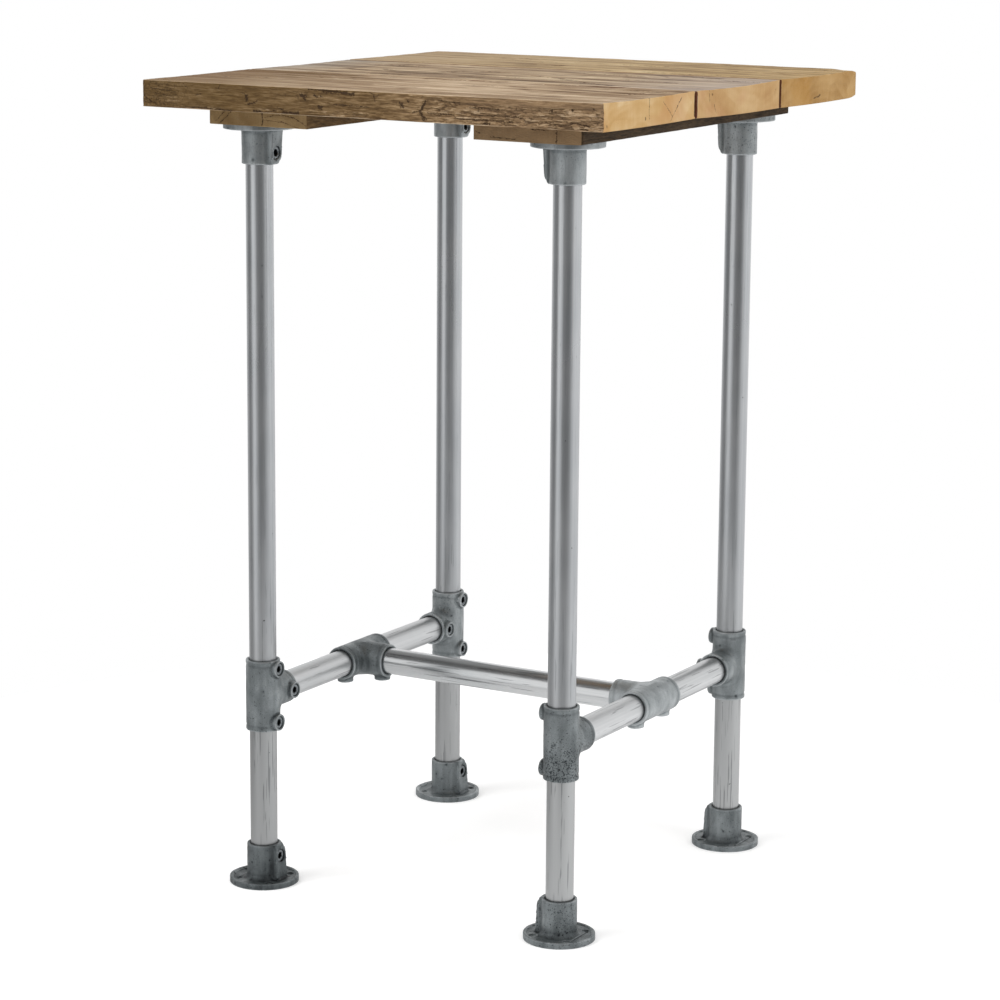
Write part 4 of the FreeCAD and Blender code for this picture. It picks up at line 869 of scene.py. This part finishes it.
# Each casting's number of pits, its tone, and how thick small dark specks lie low and high on it. The tone is set
# for each casting to how bright it shows, so it holds painted light and shade as well as the zinc's own tone: the
# top flanges, in the table's shade, are among the palest. The first one's seed is castSizes["firstSeed"], and each
# next one's is one more.
castLooks = {
    "leg_tee_front_left": (25, 0.05, 0.45, 0.15), "leg_tee_front_right": (60, -0.03, 1.0, 0.35),
    "leg_tee_rear_right": (15, 0.07, 0.2, 0.1), "leg_tee_rear_left": (25, 0.16, 0.2, 0.6),
    "rail_tee_left": (15, -0.06, 0.2, 0.45), "rail_tee_right": (12, 0.31, 0.1, 0.1),
    "foot_flange_front_left": (25, -0.21, 0.4, 0.3), "foot_flange_front_right": (35, -0.05, 0.6, 0.6),
    "foot_flange_rear_right": (25, -0.03, 0.4, 0.4), "foot_flange_rear_left": (20, 0.02, 0.4, 0.3),
    "top_flange_front_left": (20, 0.18, 0.3, 0.3), "top_flange_front_right": (20, 0.22, 0.3, 0.3),
    "top_flange_rear_right": (30, 0.28, 0.6, 0.6), "top_flange_rear_left": (20, 0.25, 0.3, 0.3),
}
# The mouths round which shade is painted: axis, middle and radius of each.
castMouths = {
    "tee": [(2, (0, 0, 45), 17.15), (2, (0, 0, -45), 17.15), (1, (0, 46, 0), 17.15),
            (0, (26, 0, 34), 7.7), (0, (26, 0, -34), 7.7), (0, (26, 35, 0), 7.7)],
    "flange": [(2, (0, 0, 50.5), 17.15), (0, (26, 0, 36), 7.7)],
}

castCollars = {"tee": [(1, 39.5), (2, 38.5), (2, -38.5)], "flange": []}     # axis and place


# Nearness to a circle: a bell shape over the distance from it.
def circleShade(points, axis, middle, radius, wide=1.5):
    away = points - np.array(middle, float)
    sides = [k for k in range(3) if k != axis]
    radial = np.hypot(away[:, sides[0]], away[:, sides[1]]) - radius
    return np.exp(-(radial ** 2 + away[:, axis] ** 2) / wide ** 2)


# The even mesh, sunk by casting waves and by round pits, then turned and moved into place.
def makeCasting(name, kind, place, turn, points, outward, bend, faces):
    pits, _, speckleLow, speckleHigh = castLooks[name]
    seed = castSeeds[name]
    rng = np.random.default_rng(seed)
    shifted = points + np.array([37.0, 11.0, 5.0]) * seed
    wave = latticeNoise(shifted, (16, 16, 16), seed) * 0.20 + latticeNoise(shifted, (4.5, 4.5, 4.5), seed + 1) * 0.09
    depth = np.zeros(len(points))
    for spot in points[rng.integers(0, len(points), pits)]:
        size, deep = rng.uniform(0.8, 1.9), rng.uniform(0.25, 0.7)
        depth = np.maximum(depth, deep * np.exp(-((points - spot) ** 2).sum(1) / size ** 2))
    inBore = np.hypot(points[:, 0], points[:, 1]) < castSizes["bore"] + 1
    strength = np.where(inBore, 0.2, 1.0)
    # behind each mouth of a tee a shallow groove leaves a collar standing
    collar = np.zeros(len(points))
    for axis, where in castCollars[kind]:
        radial = np.linalg.norm(np.delete(points, axis, 1), axis=1)
        outside = radial > castSizes["bore"] + 1.5
        collar = np.maximum(collar, np.exp(-((points[:, axis] - where) / 1.5) ** 2) * outside)
    collar *= smoothStep((20 - points[:, 0]) / 3)
    if kind == "flange":
        strength *= smoothStep(points[:, 2] / 1.5)
    rough = points + outward * ((wave - 0.2 - depth) * strength - collar * 0.55)[:, None]
    low, high = (np.array(corner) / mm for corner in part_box(name))
    world = np.clip(rough @ np.array(turn, float) + np.array(place), low, high)
    piece = meshFromArrays(name + "_cast", world, faces)
    height = (world[:, 2] - low[2]) / (high[2] - low[2])
    # painted shade: darker round the mouths, in the creases and in the groove behind each collar, and a painted
    # contact shadow on the feet just above the floor
    mouth = np.max([circleShade(points, *circle) for circle in castMouths[kind]], axis=0)
    paintedFloorShadow = np.exp(-world[:, 2] / 2.0) * 0.6
    # edge: the outer edges turn paler, a painted highlight
    for key, shade in (("pit", np.clip(depth * 2.0, 0, 1)), ("edge", np.clip(bend * 1.6, 0, 1) * (1 - inBore)),
                       ("crease", np.clip(np.max([-bend * 2.4, mouth, collar * 0.3, paintedFloorShadow], axis=0), 0, 1)),
                       ("speckle", speckleLow + (speckleHigh - speckleLow) * smoothStep(height * 1.6 - 0.3))):
        storeShade(piece, key, shade)
    return piece


# Hot-dip galvanised malleable iron: dull zinc grey, a little cloudy, with dark specks, painted shade in the creases,
# round the mouths and where the feet meet the floor, and a painted highlight on the outer edges.
castPatterns = {                        # cells per millimetre in X, Y and Z, shift, detail, from, to
    "cloud": ((0.05, 0.05, 0.03), 0, 3.0, 0.34, 0.66),
    "grit": ((0.9, 0.9, 0.9), 7, 2.0, 0.3, 0.7),
    "runs": ((0.16, 0.16, 0.02), 19, 2.0, 0.34, 0.66),   # zinc runs, 6 mm apart
}


def castMaterial(name):
    material, add = newMaterial("galvanised_casting_" + name)
    inMm, pattern = noisePatterns(add, [(key, cells, (castSeeds[name], shift, 0), detail, 0.5, low, high)
                                        for key, (cells, shift, detail, low, high) in castPatterns.items()])
    speckle, edge, crease, pit = (add("Attribute " + key, [], "Fac") for key in ("speckle", "edge", "crease", "pit"))
    # specks about a millimetre across, thicker where the speckle share is high
    specks = add("TexNoise", {"Vector": inMm, "Scale": 0.50, "Detail": 2.0, "Roughness": 0.7})
    specks = add("MapRange", [add("Math MULTIPLY_ADD", [speckle, 0.17, specks]), 0.70, 0.74])
    # each casting's tone holds painted light and shade besides the zinc's own tone
    value = add("Math MULTIPLY_ADD", [pattern["cloud"], 0.22, 0.30 + castLooks[name][1]])
    # the edge share lightens as a painted highlight, the crease share darkens as painted shade
    for amount, weight in ((pattern["grit"], 0.12), (pattern["runs"], 0.10), (specks, -0.42),
                           (edge, 0.32), (crease, -0.40), (pit, -0.45)):
        value = add("Math MULTIPLY_ADD", [amount, weight, value])
    colour = add("ValToRGB", [value], 0, [(0.0, "#24272a"), (0.3, "#5e6466"), (0.6, "#858b8d"), (1.0, "#b8bdbf")])
    dull = add("MapRange", [pattern["cloud"], 0.0, 1.0, 0.48, 0.36])
    closeMaterial(add, add("Math SUBTRACT", [pattern["grit"], specks]), 0.4, 0.4,
                  {"Base Color": colour, "Metallic": 0.7, "Roughness": dull})
    return material


castSeeds = {name: seed for seed, name in enumerate(castLooks, castSizes["firstSeed"])}
localMesh = {}
for kind, sample, shape in (("tee", "leg_tee_front_left", teeShape),
                            ("flange", "foot_flange_front_left", flangeShape)):
    samplePoints, sampleFaces = evenMesh(sample)
    _, samplePlace, sampleTurn = fittings[sample]
    samplePoints = (samplePoints - np.array(samplePlace)) @ np.array(sampleTurn, float).T
    localMesh[kind] = (*pullToShape(samplePoints, shape), sampleFaces)
for name, (kind, place, turn) in fittings.items():
    standFor(makeCasting(name, kind, place, turn, *localMesh[kind]), name, castMaterial(name))
print("castings made:", len(fittings))


# A set screw is a ring profile turned about its axis. Its inner stretch follows a hexagon: the radius is half
# the width across flats over the cosine of the angle to the nearest flat.
setScrewSizes = {
    "outer": 7.5, "tip": 17.1, "head": 24.2, "bevel": 0.8, "hexFlats": 8.0, "hexDeep": 4.5, "hexBevel": 0.7,
    "cone": 0.6, "lip": 0.5, "around": 48,
}


def setScrewPoints():
    s = setScrewSizes
    angle = np.linspace(0, 2 * math.pi, s["around"], endpoint=False)
    hexagon = s["hexFlats"] / 2 / np.cos((angle + math.pi / 6) % (math.pi / 3) - math.pi / 6)
    rim, outer, tip, head = s["outer"] - s["bevel"], s["outer"], s["tip"], s["head"]
    mouth, floor = s["hexFlats"] / 2 / math.cos(math.pi / 6) + s["lip"], head - s["hexDeep"]
    rows = [(0.0, tip), (rim, tip), (outer, tip + s["bevel"]), (outer, head - s["bevel"]), (rim, head), (mouth, head),
            (hexagon, head - s["hexBevel"]), (hexagon, floor), (0.0, floor - s["cone"])]
    radius, along = (np.stack([np.broadcast_to(row[k], angle.shape) for row in rows]) for k in (0, 1))
    return np.stack([along, radius * np.cos(angle), radius * np.sin(angle)], -1)


# Zinc-plated steel: brighter and cooler than the castings, with painted shade in the hex socket.
def screwMaterial(name, steps):
    material, add = newMaterial(name)
    speck = add("TexNoise", {"Vector": add("TexCoord", [], "Object"), "Scale": 0.8 / mm, "Detail": 3.0})
    colour = add("ValToRGB", [speck], 0, steps)
    # the socket share paints the hex socket dark: painted shade
    colour = add("Mix RGBA", {0: add("Attribute socket", [], "Fac"), 6: colour, 7: "#17191b"}, 2)
    closeMaterial(add, speck, 0.25, 0.2, {"Base Color": colour, "Metallic": 0.9, "Roughness": 0.3})
    return material


# One mesh for each group of screws: every boss gets the same screw, each turned a little differently.
def makeSetScrews(group, holders):
    pattern = setScrewPoints()
    rows, around = pattern.shape[:2]
    rng = np.random.default_rng(len(group))
    s = castSizes
    seats = {"tee": [(0, s["bossAlong"]), (0, -s["bossAlong"]), (s["bossBranch"], 0)],
             "flange": [(0, s["screwHigh"])]}
    points, faces = [], []
    for name in holders:
        kind, place, turn = fittings[name]
        for seat in seats[kind]:
            spin = rng.uniform(0, math.pi)
            turned = pattern.reshape(-1, 3) @ np.array(Matrix.Rotation(spin, 3, "X")).T
            faces.append(ringFaces(rows, around) + len(points) * rows * around)
            points.append((turned + [0, *seat]) @ np.array(turn, float) + np.array(place))
    piece = meshFromArrays(group + "_socket_head", np.concatenate(points), np.concatenate(faces), False)
    # socket marks the hex walls and floor, which the finish paints dark as painted shade
    storeShade(piece, "socket", np.tile(np.repeat(np.arange(rows) >= rows - 2, around), len(points)))
    sealMesh(piece, 30)
    return piece


setScrewFinish = screwMaterial("zinc_plated_set_screw", [(0.3, "#666c6f"), (0.7, "#9a9fa2")])
for start in ("leg_tee", "rail_tee", "foot_flange", "top_flange"):
    group = start + "_set_screws"
    screws = makeSetScrews(group, [name for name in fittings if name.startswith(start)])
    standFor(screws, group, setScrewFinish)
woodScrewFinish = screwMaterial("yellow_zinc_wood_screw", [(0.3, "#8c7a4a"), (0.7, "#b8a66c")])
for group in ("batten_wood_screws", "flange_wood_screws"):
    dress(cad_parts[group], woodScrewFinish)


# Galvanised steel tube, drawn: bright satin zinc, almost clean, with the faintest lengthwise streaks and a few
# small dark spots. It is duller and more scuffed low down, where feet and mops reach it, and the upright tubes darken
# towards the floor: painted shade. Three values are for tubes along X, Y and Z, the rails along X and Y with a paler
# zinc than the upright legs: painted light; ranges are heights in millimetres.
tubeLooks = {
    "glossy": 0.17, "dull": (0.18, 0.35, 0.36), "dullRange": (380.0, 930.0),
    "zinc": (("#c9cccd", "#d7d8d9"), ("#c9cbcc", "#d7d8d9"), ("#b2b5b8", "#c1c3c5")),
    "low": "#b0b1b1", "lowPaintedShadeRange": (340.0, 200.0), "scuff": "#606264", "scuffRange": (480.0, 230.0), "spot": "#4c4d4e",
}
tubePatterns = {                        # cells per millimetre along and across, shift, detail
    "streak": (0.003, 0.35, 1, 3.0),
    "cloud": (0.012, 0.03, 3, 2.0),
    "scuff": (0.014, 0.40, 5, 2.0),     # a few scuffs 70 mm long and 2.5 mm wide
}


def tubeMaterial(name, along, seed):
    material, add = newMaterial("galvanised_tube_" + name)
    looks = tubeLooks
    inMm, pattern = noisePatterns(add, [
        (key, [length if axis == along else across for axis in range(3)], (shift + seed, shift * 0.7, shift * 1.3),
         detail, 0.5, 0.35, 0.65) for key, (length, across, shift, detail) in tubePatterns.items()])
    spots = add("Mapping", {"Vector": inMm, "Location": (seed, 0, 0)})
    spots = add("MapRange", [add("TexNoise", {"Vector": spots, "Scale": 0.22, "Detail": 1.0}), 0.795, 0.82])
    value = add("Math MULTIPLY_ADD", [pattern["streak"], 0.5, add("Math MULTIPLY", [pattern["cloud"], 0.5])])
    # the rails along X and Y take a paler zinc than the upright legs: painted light
    colour = add("ValToRGB", [value], 0, zip((0.1, 0.9), looks["zinc"][along]))
    height = add("SeparateXYZ", [inMm], 2)
    scuffed = add("MapRange", [height, *looks["scuffRange"], 0.12, 0.5])
    scuffed = add("Math MULTIPLY", [scuffed, add("MapRange", [pattern["scuff"], 0.93, 1.0])])
    # upright tubes darken towards the floor: painted shade
    low = add("MapRange", [height, *looks["lowPaintedShadeRange"], 0.0, 0.8])
    upright = [(low, looks["low"])] if along == 2 else []
    for share, tint in upright + [(scuffed, looks["scuff"]), (spots, looks["spot"])]:
        colour = add("Mix RGBA", {0: share, 6: colour, 7: tint}, 2)
    rough = add("MapRange", [height, *looks["dullRange"], looks["dull"][along], looks["glossy"]])
    rough = add("Math MULTIPLY_ADD", [pattern["cloud"], 0.04, rough])
    closeMaterial(add, add("Math SUBTRACT", [value, spots]), 0.06, 0.3,
                  {"Base Color": colour, "Metallic": 0.95, "Roughness": rough})
    return material


tubeKinds = (("cross_rail", 0), ("side_rail", 1), ("leg_", 2))                  # and the axis that each runs along
tubeNames = [part + corner for part in ("upper_leg_", "lower_leg_") for corner in cornerNames] + ["cross_rail"]
tubeNames += ["side_rail_%s_%s" % (side, end) for side in ("left", "right") for end in ("front", "rear")]
for number, name in enumerate(tubeNames):
    along = next(axis for kind, axis in tubeKinds if kind in name)
    dress(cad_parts[name], tubeMaterial(name, along, 5.0 + number * 7))
print("tubes and screws finished")


# The studio: a round pale floor under the table, white all round for the camera, and for the metal a room
# that is darker behind the camera, as the photo's tubes show. Ramp places run once round the horizon, with
# the camera's own direction in the middle.
studio = {
    "floorColour": "#ededed",
    "floorRadius": 1.1,
    "floorGlow": 0.35,
    "floorSeenByMetal": (-0.7, 0.7, 0.50, 1.22),    # from X to X in metres, from one brightness to the other
    "worldStrength": 0.72,
    "ceiling": 0.35,                                # brightness overhead
    "darkening": (0.52, 0.66),                      # sines of the heights where the room darkens towards it
    "lampsAimAt": 0.65,                             # height in metres
    "room": [(0.0, "#ffffff"), (0.13, "#d8d8d8"), (0.20, "#949494"), (0.285, "#8c8c8c"), (0.315, "#ffffff"),
             (0.385, "#ffffff"), (0.43, "#9c9c9c"), (0.50, "#808080"), (0.57, "#868686"), (0.62, "#bcbcbc"),
             (0.66, "#f2f2f2"), (0.75, "#ffffff"), (1.0, "#ffffff")],
    "lamps": {"keyLamp": ((-1.6, -2.2, 3.0), (1.8, 1.8), 55.0), "fillLamp": ((3.0, -0.4, 2.2), (1.2, 2.0), 20.0)},
}


def makeFloor():
    rimCount = 96
    angle = np.linspace(0, 2 * math.pi, rimCount, endpoint=False)
    rim = np.stack([np.cos(angle), np.sin(angle), 0 * angle], 1) * studio["floorRadius"]
    mesh = bpy.data.meshes.new("studioFloor")
    mesh.from_pydata(rim.tolist(), [], [list(range(rimCount))])
    material, add = newMaterial("pale_floor")
    plain = add("BsdfDiffuse", {"Color": studio["floorColour"]})
    glow = add("Emission", {"Color": "#ffffff", "Strength": studio["floorGlow"]})
    # metal sees a floor that is dimmer on the left, as in a room with its window on the right
    sideways = add("SeparateXYZ", [add("TexCoord", [], "Object")])
    sheen = add("Emission", {"Strength": add("MapRange", [sideways, *studio["floorSeenByMetal"]])})
    shown = add("MixShader", [add("LightPath", [], "Is Camera Ray"), plain, add("AddShader", [plain, glow])])
    add("OutputMaterial", [add("MixShader", [add("LightPath", [], "Is Glossy Ray"), shown, sheen])])
    mesh.materials.append(material)
    addObject("studioFloor", mesh)


def makeWorld():
    world = bpy.data.worlds.new("studioWorld")
    world.use_nodes = True
    world.node_tree.nodes.clear()
    add = functools.partial(addNode, world.node_tree)
    direction = add("TexCoord", [], "Generated")
    turned = add("VectorRotate Z_AXIS", {"Vector": direction, "Angle": -math.radians(cameraPlace["yaw"])})
    sideways, ahead = add("SeparateXYZ", [turned], 0), add("SeparateXYZ", [turned], 1)
    angle = add("Math ARCTAN2", [sideways, add("Math MULTIPLY", [ahead, -1.0])])
    room = add("ValToRGB", [add("MapRange", [angle, -math.pi, math.pi, 0.0, 1.0])], 0, studio["room"])
    upward = add("MapRange", [add("SeparateXYZ", [direction], 2), *studio["darkening"], 1.0, studio["ceiling"]])
    soft = add("Background", {"Color": "#ffffff", "Strength": studio["worldStrength"]})
    seenByMetal = add("Background", {"Color": room, "Strength": upward})
    white = add("Background", {"Color": "#ffffff", "Strength": 1.0})
    mixed = add("MixShader", [add("LightPath", [], "Is Glossy Ray"), soft, seenByMetal])
    add("OutputWorld", [add("MixShader", [add("LightPath", [], "Is Camera Ray"), mixed, white])])
    bpy.context.scene.world = world


def makeLamp(name, place, size, power):
    data = bpy.data.lights.new(name, "AREA")
    data.shape = "RECTANGLE"
    data.size, data.size_y = size
    data.energy = power
    lamp = addObject(name, data)
    lamp.location = place
    lamp.rotation_euler = (Vector((0, 0, studio["lampsAimAt"])) - Vector(place)).to_track_quat("-Z", "Y").to_euler()
    lamp.visible_glossy = False


makeFloor()
makeWorld()
for lampName, (lampPlace, lampSize, lampPower) in studio["lamps"].items():
    makeLamp(lampName, lampPlace, lampSize, lampPower)
print("studio lit")
